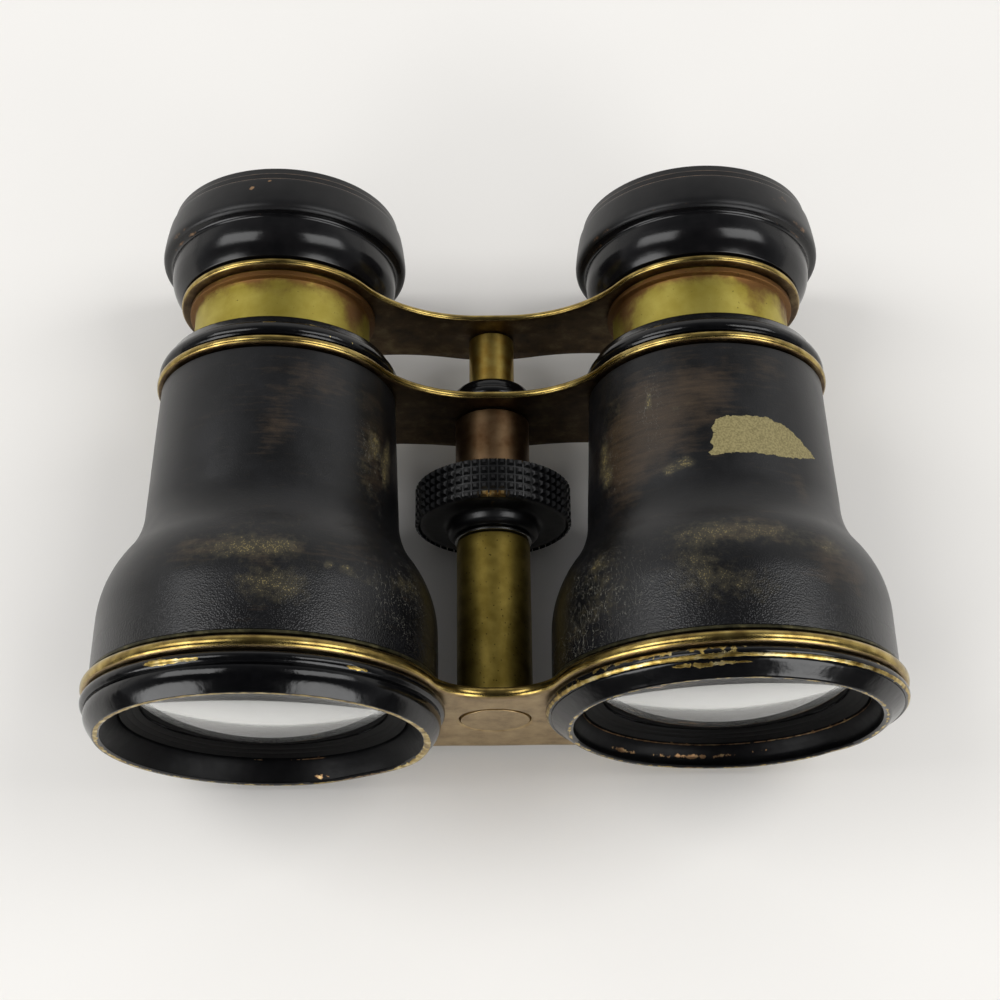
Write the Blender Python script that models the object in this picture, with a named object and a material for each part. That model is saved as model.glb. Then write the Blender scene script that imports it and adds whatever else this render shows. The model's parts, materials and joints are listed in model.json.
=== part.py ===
"""Field glasses of the rigid kind: two barrels, three bridges and a focusing column.

Lengths are in metres. The optical frame has x across the barrels, y along them towards
the eyes and z up. Its y = 0 is the front face of the lower bridge and its z = 0 is the
plane of the two optical axes. One empty carries everything and tips it about x, because
the glasses lie on the lower bridge and on the narrower eyecups. Left and right are as seen
from the objective end.
"""
import math

import bmesh
import bpy
from mathutils import Vector

# Layout of the whole
BARREL_SPACING = 0.0630
COLUMN_DROP = 0.0082
BARREL_LENGTH = 0.0452
EYE_BRIDGE_LIFT = 0.0130
SEAT_GAP = 0.0003
RUNNING_GAP = 0.0003

# Lower bridge, between the objectives
LOWER_THICKNESS = 0.0017
LOWER_RING_RADIUS = 0.02476
LOWER_WAIST_TOP = 0.0024
LOWER_WAIST_HALF_FLAT = 0.0006
LOWER_FOOT = -0.0217
LOWER_BOSS_RADIUS = 0.070
LOWER_FOOT_FILLET = 0.070

# Middle bridge, on top of the barrels
MIDDLE_THICKNESS = 0.00127
MIDDLE_RING_PROUD = 0.00072
MIDDLE_WAIST_TOP = 0.0004
MIDDLE_WAIST_HALF_FLAT = 0.0020
MIDDLE_FOOT = -0.01665
MIDDLE_BOSS_RADIUS = 0.040
MIDDLE_FOOT_FILLET = 0.040

# Eye bridge, which slides with the eyepieces
EYE_THICKNESS = 0.0011
EYE_RING_WIDTH = 0.00215
EYE_WAIST_TOP = -0.0014
EYE_WAIST_HALF_FLAT = 0.0020
EYE_FOOT = -0.01425
EYE_BOSS_RADIUS = 0.025
EYE_FOOT_FILLET = 0.033

LOWER_CHAMFER = 0.0003
SHORT_FACET = 0.3

# Bell-shaped barrels and their leather
LEATHER_TOP_RADIUS = 0.01712
LEATHER_NECK_RADIUS = 0.01795
LEATHER_SHOULDER_RADIUS = 0.02355
LEATHER_FOOT_RADIUS = 0.02370
LEATHER_THICKNESS = 0.0005
SHOULDER_TOP = 0.0270
SHOULDER_FOOT = 0.0110
COVE_RADIUS = 0.0095
BARREL_WALL = 0.00075
BARREL_FLANGE_RADIUS = 0.0242
BARREL_FLANGE_THICKNESS = 0.0005

# Objective cells, which screw in through the lower bridge; the left one has the longer hood
# and the right one a lip that was knocked inwards
BEAD_INSET = 0.00012
BEAD_WIDTH = 0.0018
BEAD_CREST = 0.0007
BEAD_STEP = 0.00054
LEFT_HOOD_REACH = 0.00535
RIGHT_HOOD_REACH = 0.0037
LEFT_LIP_TAPER = 0.00153
RIGHT_LIP_TAPER = 0.0023
LIP_WIDTH = 0.00085
CELL_NECK_WALL = 0.0022
LENS_SHOULDER_WIDTH = 0.0021
LENS_SHOULDER_THICKNESS = 0.0012

# Optics of an objective, set back from the lip of its hood
OPTICS_SETBACK = 0.00325
RING_CONE_DEPTH = 0.0020
RING_LAND = 0.0003
CLEAR_RADIUS = 0.0167
CROWN_FRONT_CURVE = 0.0440
CROWN_BACK_CURVE = 0.0800
CROWN_EDGE = 0.0010
FLINT_CENTRE = 0.0013

# Collars on top of the barrels, with the long sleeves that guide the draw tubes
COLLAR_FOOT_INSET = 0.00029
COLLAR_ROLL_INSET = 0.00079
COLLAR_TOP_INSET = 0.00154
COLLAR_WALL = 0.00192
COLLAR_HEIGHT = 0.0034
COLLAR_ROLL_HEIGHT = 0.0018
COLLAR_SLEEVE_DEPTH = 0.0170
SEAL_HEIGHT = 0.0012
SEAL_WIDTH = 0.0012
SEAL_COVER = 0.0008

# Draw tubes
DRAW_TUBE_WALL = 0.0006
DRAW_TUBE_LENGTH = 0.0352
DRAW_FLANGE_WIDTH = 0.0008
DRAW_FLANGE_THICKNESS = 0.0008

# Eyecups, from the neck on the eye bridge to the rim at the eye
EYECUP_NECK_WALL = 0.0020
EYECUP_BELL_SWELL = 0.0018
EYECUP_BELL_HEIGHT = 0.0040
EYECUP_DRUM_STEP = 0.00155
EYECUP_DRUM_START = 0.0058
EYECUP_CREST_HEIGHT = 0.0012
EYECUP_DRUM_LENGTH = 0.0057
EYECUP_DRUM_TAPER = 0.00062
EYECUP_RIM_TAPER = 0.0005
EYECUP_RIM_HEIGHT = 0.0022
EYECUP_RIM_LAND = 0.0009
EYECUP_SOCKET_DEPTH = 0.0031
EYE_APERTURE_RADIUS = 0.0082
EYE_APERTURE_SETBACK = 0.0054
EYE_APERTURE_LAND = 0.0006
DISH_SAG = 0.0012

# Eye lens and the ring that holds it
EYE_LENS_RADIUS = 0.0100
EYE_LENS_EDGE = 0.0023
EYE_LENS_CENTRE = 0.0011
EYE_LENS_RING_LENGTH = 0.0015
EYE_LENS_RING_WIDTH = 0.0016

# Focusing column
TUBE_RADIUS = 0.00542
TUBE_WALL = 0.0008
PLUG_HEAD_RADIUS = 0.0049
PLUG_LENGTH = 0.0070
WASHER_RADIUS = 0.0059
WASHER_THICKNESS = 0.0004
SLEEVE_RADIUS = 0.00558
SLEEVE_WALL = 0.0007
GLAND_RADIUS = 0.0061
GLAND_FLANGE = 0.0008
GLAND_HEIGHT = 0.0038
GLAND_STUB = 0.0050

# Focusing wheel
WHEEL_RADIUS = 0.01155
WHEEL_WIDTH = 0.0060
WHEEL_FRONT_STATION = 0.0298
WHEEL_HUB_RADIUS = 0.0067
WHEEL_FRONT_HUB = 0.0020
WHEEL_DISH = 0.0008
WHEEL_RIM_WALL = 0.0022
WHEEL_CHAMFER = 0.0004
KNURL_COLUMNS = 42
KNURL_ROWS = 5
KNURL_HEIGHT = 0.0004
WHEEL_NUT_WALL = 0.0016

# Focusing post, which the wheel's nut draws in and out
POST_RADIUS = 0.00345
POST_SCREW_RADIUS = 0.0031
POST_TIP_STEP = 0.0009
POST_STOP_RADIUS = 0.0042
POST_STOP_LENGTH = 0.0030
TRAVEL_OUT = 0.0040
TRAVEL_IN = 0.0080
BRIDGE_SCREW_RADIUS = 0.0016
BRIDGE_SCREW_LENGTH = 0.0080
BRIDGE_SCREW_HEAD_RADIUS = 0.0036
BRIDGE_SCREW_HEAD_HEIGHT = 0.0015
BRIDGE_SCREW_CHEEK = 0.0005
BRIDGE_SCREW_SLOT = 0.0008
BRIDGE_SCREW_SLOT_DEPTH = 0.0005

# Facets round the pieces; each count is a multiple of four, so a corner points straight down
LARGE_FACETS = 28
MEDIUM_FACETS = 24
SMALL_FACETS = 20
INNER_FACETS = 16

# Edges that turn by more than these are shaded sharp, and are eased where a plate is chamfered
SHARP_ANGLE = math.radians(32)
CORNER_ANGLE = math.radians(60)

# Stations and radii that follow from the sizes above
HALF_SPACING = BARREL_SPACING / 2
LOWER_BACK = LOWER_THICKNESS
MIDDLE_FRONT = LOWER_BACK + BARREL_LENGTH
MIDDLE_BACK = MIDDLE_FRONT + MIDDLE_THICKNESS
EYE_FRONT = MIDDLE_BACK + EYE_BRIDGE_LIFT
EYE_BACK = EYE_FRONT + EYE_THICKNESS
EYECUP_FOOT = EYE_BACK + SEAT_GAP
DRUM_FRONT = EYECUP_FOOT + EYECUP_DRUM_START
DRUM_CREST = DRUM_FRONT + EYECUP_CREST_HEIGHT
DRUM_BACK = DRUM_FRONT + EYECUP_DRUM_LENGTH
BARREL_INSET = LEATHER_THICKNESS + SEAT_GAP
BARREL_FOOT_BORE = LEATHER_FOOT_RADIUS - BARREL_INSET - BARREL_WALL
BARREL_TOP_BORE = LEATHER_TOP_RADIUS - BARREL_INSET - BARREL_WALL
BEAD_RADIUS = LOWER_RING_RADIUS - BEAD_INSET
BEAD_SHOULDER_RADIUS = BEAD_RADIUS - BEAD_STEP
LEFT_LIP_RADIUS = BEAD_SHOULDER_RADIUS - LEFT_LIP_TAPER
RIGHT_LIP_RADIUS = BEAD_SHOULDER_RADIUS - RIGHT_LIP_TAPER
CELL_NECK_RADIUS = BARREL_FOOT_BORE - SEAT_GAP
CELL_BORE = CELL_NECK_RADIUS - CELL_NECK_WALL
LENS_RADIUS = CELL_BORE - SEAT_GAP
COLLAR_SLEEVE_RADIUS = BARREL_TOP_BORE - SEAT_GAP
DRAW_BORE = COLLAR_SLEEVE_RADIUS - COLLAR_WALL
DRAW_TUBE_RADIUS = DRAW_BORE - RUNNING_GAP
MIDDLE_RING_RADIUS = LEATHER_TOP_RADIUS + MIDDLE_RING_PROUD
COLLAR_FOOT_RADIUS = MIDDLE_RING_RADIUS - COLLAR_FOOT_INSET
COLLAR_ROLL_RADIUS = MIDDLE_RING_RADIUS - COLLAR_ROLL_INSET
COLLAR_TOP_RADIUS = MIDDLE_RING_RADIUS - COLLAR_TOP_INSET
EYE_RING_RADIUS = DRAW_TUBE_RADIUS + EYE_RING_WIDTH
EYECUP_NECK_RADIUS = DRAW_TUBE_RADIUS + EYECUP_NECK_WALL
EYECUP_BELL_RADIUS = EYECUP_NECK_RADIUS + EYECUP_BELL_SWELL
EYECUP_DRUM_RADIUS = EYECUP_BELL_RADIUS + EYECUP_DRUM_STEP
EYECUP_DRUM_END_RADIUS = EYECUP_DRUM_RADIUS - EYECUP_DRUM_TAPER
EYECUP_RIM_RADIUS = EYECUP_DRUM_END_RADIUS - EYECUP_RIM_TAPER
EYE_LENS_SEAT = EYE_LENS_RADIUS + SEAT_GAP
TUBE_BORE = TUBE_RADIUS - TUBE_WALL
SLEEVE_BORE = SLEEVE_RADIUS - SLEEVE_WALL
POST_BORE = POST_RADIUS + RUNNING_GAP
WHEEL_BACK_STATION = WHEEL_FRONT_STATION + WHEEL_WIDTH
HUB_FRONT_STATION = WHEEL_FRONT_STATION - WHEEL_FRONT_HUB
WHEEL_NUT_BORE = POST_SCREW_RADIUS + RUNNING_GAP
WHEEL_NUT_RADIUS = WHEEL_NUT_BORE + WHEEL_NUT_WALL
WHEEL_BORE = WHEEL_NUT_RADIUS + SEAT_GAP

# The glasses rest on the back edge of the lower bridge and on the crests of the eyecups
TILT = math.atan2(LOWER_RING_RADIUS - EYECUP_DRUM_RADIUS, DRUM_CREST - LOWER_BACK)


def finish(name, colour, roughness, metallic, transmission=0.0):
    """A plain surface finish."""
    material = bpy.data.materials.new(name)
    material.use_nodes = True
    shader = material.node_tree.nodes["Principled BSDF"]
    shader.inputs["Base Color"].default_value = (*colour, 1.0)
    shader.inputs["Roughness"].default_value = roughness
    shader.inputs["Metallic"].default_value = metallic
    shader.inputs["Transmission Weight"].default_value = transmission
    material.diffuse_color = (*colour, 1.0)
    return material


def empty(name, place=(0.0, 0.0, 0.0), parent=None):
    """An empty that carries pieces."""
    carrier = bpy.data.objects.new(name, None)
    bpy.context.scene.collection.objects.link(carrier)
    carrier.location = place
    carrier.parent = parent
    return carrier


def add_object(name, bm, place, carrier, material=None):
    """Turn a bmesh into a smooth-shaded object at a place of the optical frame."""
    bmesh.ops.recalc_face_normals(bm, faces=bm.faces)
    mesh = bpy.data.meshes.new(name)
    bm.to_mesh(mesh)
    bm.free()
    mesh.shade_smooth()
    mesh.set_sharp_from_angle(angle=SHARP_ANGLE)
    piece = bpy.data.objects.new(name, mesh)
    bpy.context.scene.collection.objects.link(piece)
    piece.parent = carrier
    piece.location = Vector(place) - carrier.location
    if material:
        mesh.materials.append(material)
    return piece


def spun(profile, facets):
    """Turn a profile of (radius, y) about the y axis; y counts from its first point."""
    bm = bmesh.new()
    verts = [bm.verts.new((radius, y - profile[0][1], 0.0)) for radius, y in profile]
    edges = [bm.edges.new(pair) for pair in zip(verts, verts[1:])]
    if profile[0][0] > 0 or profile[-1][0] > 0:
        edges.append(bm.edges.new((verts[-1], verts[0])))
    bmesh.ops.spin(bm, geom=verts + edges, axis=(0, 1, 0), angle=2 * math.pi,
                   steps=facets, use_merge=True)
    bmesh.ops.remove_doubles(bm, verts=bm.verts, dist=1e-6)
    return bm


def turned(name, profile, carrier, material, x=0.0, z=0.0, facets=LARGE_FACETS):
    """A piece turned on the lathe, on an axis along y through (x, z)."""
    return add_object(name, spun(profile, facets), (x, profile[0][1], z), carrier, material)


def arc(centre, radius, start, end, steps):
    """Points on an arc in a plane, both ends included, angles in radians."""
    angles = [start + (end - start) * i / steps for i in range(steps + 1)]
    return [(centre[0] + radius * math.cos(a), centre[1] + radius * math.sin(a)) for a in angles]


def sag(curve, radius):
    """How far a spherical face of the given curve falls away at a radius."""
    return curve - math.sqrt(curve ** 2 - radius ** 2)


def bearing(start, end):
    """Direction from one point of a plane to another."""
    return math.atan2(end[1] - start[1], end[0] - start[0])


def touching_circle(centre_a, radius_a, centre_b, radius_b, radius):
    """Centre of the circle of this radius that touches circles a and b from below."""
    reach_a = radius_a + radius
    reach_b = radius_b + radius
    span = math.dist(centre_a, centre_b)
    along = (reach_a ** 2 - reach_b ** 2 + span ** 2) / (2 * span)
    across = math.sqrt(reach_a ** 2 - along ** 2)
    heading = bearing(centre_a, centre_b)
    return (centre_a[0] + along * math.cos(heading) + across * math.sin(heading),
            centre_a[1] + along * math.sin(heading) - across * math.cos(heading))


def bridge_outline(ring_radius, waist_top, half_flat, foot, boss_radius, foot_fillet):
    """Outline of a bridge in x and z: two round ends joined by a waist.

    The top dips between the ends in one arc on each side of a short flat. The bottom
    swells gently under the column and joins the ends through shallow hollows.
    """
    ring = (HALF_SPACING, 0.0)
    boss = (0.0, foot + boss_radius)
    hollow = touching_circle(boss, boss_radius, ring, ring_radius, foot_fillet)
    reach = HALF_SPACING - half_flat
    dip_radius = ((reach ** 2 + waist_top ** 2 - ring_radius ** 2)
                  / (2 * (ring_radius - waist_top)))
    dip = (half_flat, waist_top + dip_radius)

    step = 2 * math.pi / LARGE_FACETS
    first = math.ceil(bearing(ring, hollow) / step + SHORT_FACET)
    last = math.floor(bearing(ring, dip) / step - SHORT_FACET)
    ring_points = [(ring[0] + ring_radius * math.cos(i * step),
                    ring_radius * math.sin(i * step)) for i in range(first, last + 1)]

    half = arc(boss, boss_radius, -math.pi / 2, bearing(boss, hollow), 2)
    half += arc(hollow, foot_fillet, bearing(hollow, boss), bearing(hollow, ring), 3)[1:]
    half += ring_points
    half += arc(dip, dip_radius, bearing(dip, ring), -math.pi / 2, 5)
    return half + [(-x, z) for x, z in reversed(half[1:])]


def bridge(name, front, thickness, outline, bores, carrier, material, edge=0.0):
    """A plate cut to an outline, with round bores (x, z, radius, facets) and eased edges."""
    bm = bmesh.new()
    face = bm.faces.new([bm.verts.new((x, 0.0, z)) for x, z in outline])
    sides = bmesh.ops.extrude_face_region(bm, geom=[face])["geom"]
    moved = [item for item in sides if isinstance(item, bmesh.types.BMVert)]
    bmesh.ops.translate(bm, verts=moved, vec=(0.0, thickness, 0.0))
    plate = add_object(name, bm, (0.0, front, 0.0), carrier, material)

    if edge:
        chamfer = plate.modifiers.new("chamfer", "BEVEL")
        chamfer.width = edge
        chamfer.segments = 1
        chamfer.limit_method = "ANGLE"
        chamfer.angle_limit = CORNER_ANGLE

    drills = bmesh.new()
    overrun = thickness
    for x, z, radius, facets in bores:
        drill = spun([(0.0, 0.0), (radius, 0.0), (radius, thickness + 2 * overrun),
                      (0.0, thickness + 2 * overrun)], facets)
        bmesh.ops.translate(drill, verts=drill.verts, vec=(x, 0.0, z))
        mesh = bpy.data.meshes.new("drill")
        drill.to_mesh(mesh)
        drill.free()
        drills.from_mesh(mesh)
    cutter = add_object(name + "_drill", drills, (0.0, front - overrun, 0.0), carrier)
    cutter.hide_render = True
    cutter.display_type = "WIRE"
    bore = plate.modifiers.new("bores", "BOOLEAN")
    bore.operation = "DIFFERENCE"
    bore.object = cutter
    return plate


def barrel_side(inset, foot, top, ovolo_steps=3):
    """Side of the bell-shaped barrel from foot to top, drawn in by an inset.

    A steep cylinder below, an ovolo and a cove that touch each other, and a long slender
    taper up to the middle bridge.
    """
    rise = LEATHER_SHOULDER_RADIUS - LEATHER_NECK_RADIUS
    run = SHOULDER_TOP - SHOULDER_FOOT
    both_radii = (run ** 2 + rise ** 2) / (2 * rise)
    ovolo_radius = both_radii - COVE_RADIUS
    ovolo = (LEATHER_SHOULDER_RADIUS - ovolo_radius, SHOULDER_FOOT)
    cove = (LEATHER_NECK_RADIUS + COVE_RADIUS, SHOULDER_TOP)
    turn = bearing(ovolo, cove)
    points = [(LEATHER_FOOT_RADIUS, foot)]
    points += arc(ovolo, ovolo_radius, 0.0, turn, ovolo_steps)
    points += arc(cove, COVE_RADIUS, turn - math.pi, -math.pi, 2)[1:]
    points.append((LEATHER_TOP_RADIUS, top))
    return [(radius - inset, y) for radius, y in points]


def barrel(side, x, carrier, brass, leather):
    """Brass barrel with its foot flange, and the leather glued round it."""
    foot = LOWER_BACK + SEAT_GAP
    top = MIDDLE_FRONT - SEAT_GAP
    flange_top = foot + BARREL_FLANGE_THICKNESS
    leather_foot = flange_top + SEAT_GAP
    outer = barrel_side(BARREL_INSET, flange_top, top)
    inner = barrel_side(BARREL_INSET + BARREL_WALL, foot, top, ovolo_steps=2)
    flange = [(BARREL_FOOT_BORE, foot), (BARREL_FLANGE_RADIUS, foot),
              (BARREL_FLANGE_RADIUS, flange_top)]
    turned("barrel_tube_" + side, flange + outer + inner[:0:-1], carrier, brass, x)
    skin = barrel_side(0.0, leather_foot, top)
    lining = barrel_side(LEATHER_THICKNESS, leather_foot, top)
    turned("barrel_leather_" + side, skin + lining[::-1], carrier, leather, x)


def objective(side, x, hood_reach, lip_radius, carrier, finishes):
    """Objective cell with its hood, and the two lenses and the ring inside it."""
    lip = -hood_reach
    bead_back = -SEAT_GAP
    bead_front = bead_back - BEAD_WIDTH
    lens_stop = lens_stack_end(lip) + SEAT_GAP
    neck_end = lens_stop + LENS_SHOULDER_THICKNESS
    crest_front = bead_back - (BEAD_WIDTH + BEAD_CREST) / 2
    ovolo_start = (BEAD_SHOULDER_RADIUS, bead_front)
    ovolo_middle = ((2 * BEAD_SHOULDER_RADIUS + lip_radius) / 3, (bead_front + lip) / 2)
    cell = [(lip_radius, lip), ovolo_middle, ovolo_start,
            (BEAD_RADIUS, crest_front), (BEAD_RADIUS, crest_front + BEAD_CREST),
            (BEAD_SHOULDER_RADIUS, bead_back),
            (CELL_NECK_RADIUS, bead_back), (CELL_NECK_RADIUS, neck_end),
            (CELL_BORE - LENS_SHOULDER_WIDTH, neck_end),
            (CELL_BORE - LENS_SHOULDER_WIDTH, lens_stop),
            (CELL_BORE, lens_stop), (CELL_BORE, lip + OPTICS_SETBACK),
            (lip_radius - LIP_WIDTH, lip)]
    turned("objective_cell_" + side, cell, carrier, finishes["japan"], x)

    ring_front = lip + OPTICS_SETBACK + SEAT_GAP
    ring_land = ring_front + RING_CONE_DEPTH
    ring_back = ring_land + RING_LAND
    ring = [(LENS_RADIUS, ring_front), (LENS_RADIUS, ring_back), (CLEAR_RADIUS, ring_back),
            (CLEAR_RADIUS, ring_land)]
    turned("objective_retaining_ring_" + side, ring, carrier, finishes["matt"], x,
           facets=SMALL_FACETS)

    crown_front, crown_back, flint_front, flint_back = lens_stations(lip)
    crown = lens_profile(LENS_RADIUS, crown_front, crown_back, CROWN_FRONT_CURVE,
                         CROWN_BACK_CURVE)
    turned("objective_crown_lens_" + side, crown, carrier, finishes["glass"], x,
           facets=INNER_FACETS)
    flint = lens_profile(LENS_RADIUS, flint_front, flint_back, -CROWN_BACK_CURVE, math.inf)
    turned("objective_flint_lens_" + side, flint, carrier, finishes["glass"], x,
           facets=INNER_FACETS)


def lens_stations(lip):
    """Edges of the crown and flint lenses of an objective, front and back of each."""
    ring_back = lip + OPTICS_SETBACK + SEAT_GAP + RING_CONE_DEPTH + RING_LAND
    fall = sag(CROWN_FRONT_CURVE, LENS_RADIUS) - sag(CROWN_FRONT_CURVE, CLEAR_RADIUS)
    crown_front = ring_back + SEAT_GAP + fall
    crown_back = crown_front + CROWN_EDGE
    flint_front = crown_back + SEAT_GAP
    flint_back = flint_front + sag(CROWN_BACK_CURVE, LENS_RADIUS) + FLINT_CENTRE
    return crown_front, crown_back, flint_front, flint_back


def lens_stack_end(lip):
    """Back of the last lens of an objective."""
    return lens_stations(lip)[3]


def lens_profile(radius, front, back, front_curve, back_curve):
    """Half section of a lens whose edge runs from front to back.

    A positive curve bulges out of the edge, a negative one is hollow, an infinite one flat.
    """
    def rise(curve, at):
        if math.isinf(curve):
            return 0.0
        height = sag(abs(curve), radius) - sag(abs(curve), at)
        return math.copysign(height, curve)

    radii = [0.0, radius / 2, radius]
    if math.isinf(back_curve):
        back_radii = [radius, 0.0]
    else:
        back_radii = radii[::-1]
    profile = [(r, front - rise(front_curve, r)) for r in radii]
    return profile + [(r, back + rise(back_curve, r)) for r in back_radii]


def collar(side, x, carrier, japan, felt):
    """Collar screwed into the top of a barrel, with its guide sleeve and felt seal."""
    foot = MIDDLE_BACK + SEAT_GAP
    top = foot + COLLAR_HEIGHT
    sleeve_end = MIDDLE_FRONT - COLLAR_SLEEVE_DEPTH
    groove_top = top - SEAL_COVER
    groove_foot = groove_top - SEAL_HEIGHT - 2 * SEAT_GAP
    groove = DRAW_BORE + SEAL_WIDTH + SEAT_GAP
    profile = [(COLLAR_SLEEVE_RADIUS, sleeve_end), (COLLAR_SLEEVE_RADIUS, foot),
               (COLLAR_FOOT_RADIUS, foot), (COLLAR_ROLL_RADIUS, foot + COLLAR_ROLL_HEIGHT),
               (COLLAR_TOP_RADIUS, top), (DRAW_BORE, top), (DRAW_BORE, groove_top),
               (groove, groove_top), (groove, groove_foot), (DRAW_BORE, groove_foot),
               (DRAW_BORE, sleeve_end)]
    turned("barrel_collar_" + side, profile, carrier, japan, x, facets=MEDIUM_FACETS)
    seal_foot = groove_foot + SEAT_GAP
    seal_top = groove_top - SEAT_GAP
    seal = [(DRAW_BORE, seal_foot), (DRAW_BORE + SEAL_WIDTH, seal_foot),
            (DRAW_BORE + SEAL_WIDTH, seal_top), (DRAW_BORE, seal_top)]
    turned("draw_tube_seal_" + side, seal, carrier, felt, x, facets=SMALL_FACETS)


def eyepiece(side, x, carrier, finishes):
    """Draw tube, eyecup, eye lens and its ring on one side."""
    flange_top = EYE_FRONT - SEAT_GAP
    flange_foot = flange_top - DRAW_FLANGE_THICKNESS
    socket_end = EYECUP_FOOT + EYECUP_SOCKET_DEPTH
    tube_top = socket_end - SEAT_GAP
    tube_foot = tube_top - DRAW_TUBE_LENGTH
    tube_inner = DRAW_TUBE_RADIUS - DRAW_TUBE_WALL
    tube = [(tube_inner, tube_foot), (DRAW_TUBE_RADIUS, tube_foot),
            (DRAW_TUBE_RADIUS, flange_foot), (DRAW_TUBE_RADIUS + DRAW_FLANGE_WIDTH, flange_foot),
            (DRAW_TUBE_RADIUS + DRAW_FLANGE_WIDTH, flange_top), (DRAW_TUBE_RADIUS, flange_top),
            (DRAW_TUBE_RADIUS, tube_top), (tube_inner, tube_top)]
    turned("draw_tube_" + side, tube, carrier, finishes["brass"], x, facets=MEDIUM_FACETS)

    bell_top = EYECUP_FOOT + EYECUP_BELL_HEIGHT
    rim_top = DRUM_BACK + EYECUP_RIM_HEIGHT
    rim_inner = EYECUP_RIM_RADIUS - EYECUP_RIM_LAND
    aperture_back = rim_top - EYE_APERTURE_SETBACK
    lens_stop = aperture_back - EYE_APERTURE_LAND
    bell_width = EYECUP_BELL_RADIUS - EYECUP_NECK_RADIUS
    bell = [(EYECUP_NECK_RADIUS + bell_width * math.sin(a),
             bell_top - EYECUP_BELL_HEIGHT * math.cos(a)) for a in (0.0, math.pi / 6, math.pi / 3)]
    dish_middle = ((rim_inner + EYE_APERTURE_RADIUS) / 2,
                   (rim_top + aperture_back) / 2 - DISH_SAG)
    cup = [(DRAW_TUBE_RADIUS + SEAT_GAP, EYECUP_FOOT)] + bell
    ledge_radius = (EYECUP_BELL_RADIUS + EYECUP_DRUM_RADIUS) / 2
    cup += [(EYECUP_BELL_RADIUS, bell_top), (EYECUP_BELL_RADIUS, DRUM_FRONT),
            (ledge_radius, DRUM_FRONT), (EYECUP_DRUM_RADIUS, DRUM_CREST),
            (EYECUP_DRUM_END_RADIUS, DRUM_BACK),
            (EYECUP_RIM_RADIUS, rim_top), (rim_inner, rim_top), dish_middle,
            (EYE_APERTURE_RADIUS, aperture_back), (EYE_APERTURE_RADIUS, lens_stop),
            (EYE_LENS_SEAT, lens_stop), (EYE_LENS_SEAT, socket_end),
            (DRAW_TUBE_RADIUS + SEAT_GAP, socket_end)]
    turned("eyecup_" + side, cup, carrier, finishes["japan"], x, facets=MEDIUM_FACETS)

    lens_back = lens_stop - SEAT_GAP
    lens_front = lens_back - EYE_LENS_EDGE
    hollow = (EYE_LENS_EDGE - EYE_LENS_CENTRE) / 2
    curve = -(EYE_LENS_RADIUS ** 2 + hollow ** 2) / (2 * hollow)
    lens = lens_profile(EYE_LENS_RADIUS, lens_front, lens_back, curve, curve)
    turned("eye_lens_" + side, lens, carrier, finishes["glass"], x, facets=INNER_FACETS)
    ring_back = lens_front - SEAT_GAP
    ring_front = ring_back - EYE_LENS_RING_LENGTH
    ring_inner = EYE_LENS_RADIUS - EYE_LENS_RING_WIDTH
    ring = [(ring_inner, ring_front), (EYE_LENS_RADIUS, ring_front),
            (EYE_LENS_RADIUS, ring_back), (ring_inner, ring_back)]
    turned("eye_lens_ring_" + side, ring, carrier, finishes["matt"], x, facets=INNER_FACETS)


def column(carrier, finishes):
    """The fixed parts of the focusing column, from the lower to the middle bridge."""
    z = -COLUMN_DROP
    plug_step = LOWER_BACK
    plug_end = LOWER_BACK + SEAT_GAP + PLUG_LENGTH
    plug_radius = TUBE_BORE - SEAT_GAP
    plug = [(0.0, 0.0), (PLUG_HEAD_RADIUS, 0.0), (PLUG_HEAD_RADIUS, plug_step),
            (plug_radius, plug_step), (plug_radius, plug_end), (0.0, plug_end)]
    turned("column_plug", plug, carrier, finishes["brass"], z=z, facets=INNER_FACETS)

    washer_back = HUB_FRONT_STATION - RUNNING_GAP
    washer_front = washer_back - WASHER_THICKNESS
    tube_foot = LOWER_BACK + SEAT_GAP
    tube_top = washer_front - SEAT_GAP
    tube = [(TUBE_BORE, tube_foot), (TUBE_RADIUS, tube_foot), (TUBE_RADIUS, tube_top),
            (TUBE_BORE, tube_top)]
    turned("column_tube", tube, carrier, finishes["brass"], z=z, facets=SMALL_FACETS)
    washer = [(TUBE_BORE, washer_front), (WASHER_RADIUS, washer_front),
              (WASHER_RADIUS, washer_back), (TUBE_BORE, washer_back)]
    turned("column_washer", washer, carrier, finishes["steel"], z=z, facets=SMALL_FACETS)

    sleeve_foot = WHEEL_BACK_STATION + RUNNING_GAP
    sleeve_top = MIDDLE_FRONT - SEAT_GAP
    sleeve = [(SLEEVE_BORE, sleeve_foot), (SLEEVE_RADIUS, sleeve_foot),
              (SLEEVE_RADIUS, sleeve_top), (SLEEVE_BORE, sleeve_top)]
    turned("column_sleeve", sleeve, carrier, finishes["copper"], z=z, facets=SMALL_FACETS)

    gland_foot = MIDDLE_BACK + SEAT_GAP
    gland_top = gland_foot + GLAND_HEIGHT
    dome_foot = gland_foot + GLAND_FLANGE
    dome = [(POST_BORE + (GLAND_RADIUS - POST_BORE) * math.cos(a),
             dome_foot + (gland_top - dome_foot) * math.sin(a))
            for a in (0.0, math.pi / 6, math.pi / 3, math.pi / 2)]
    stub_radius = SLEEVE_BORE - SEAT_GAP
    stub_end = MIDDLE_FRONT - GLAND_STUB
    gland = [(POST_BORE, stub_end), (stub_radius, stub_end), (stub_radius, gland_foot),
             (GLAND_RADIUS, gland_foot)] + dome
    turned("gland_nut", gland, carrier, finishes["japan"], z=z, facets=SMALL_FACETS)


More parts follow.
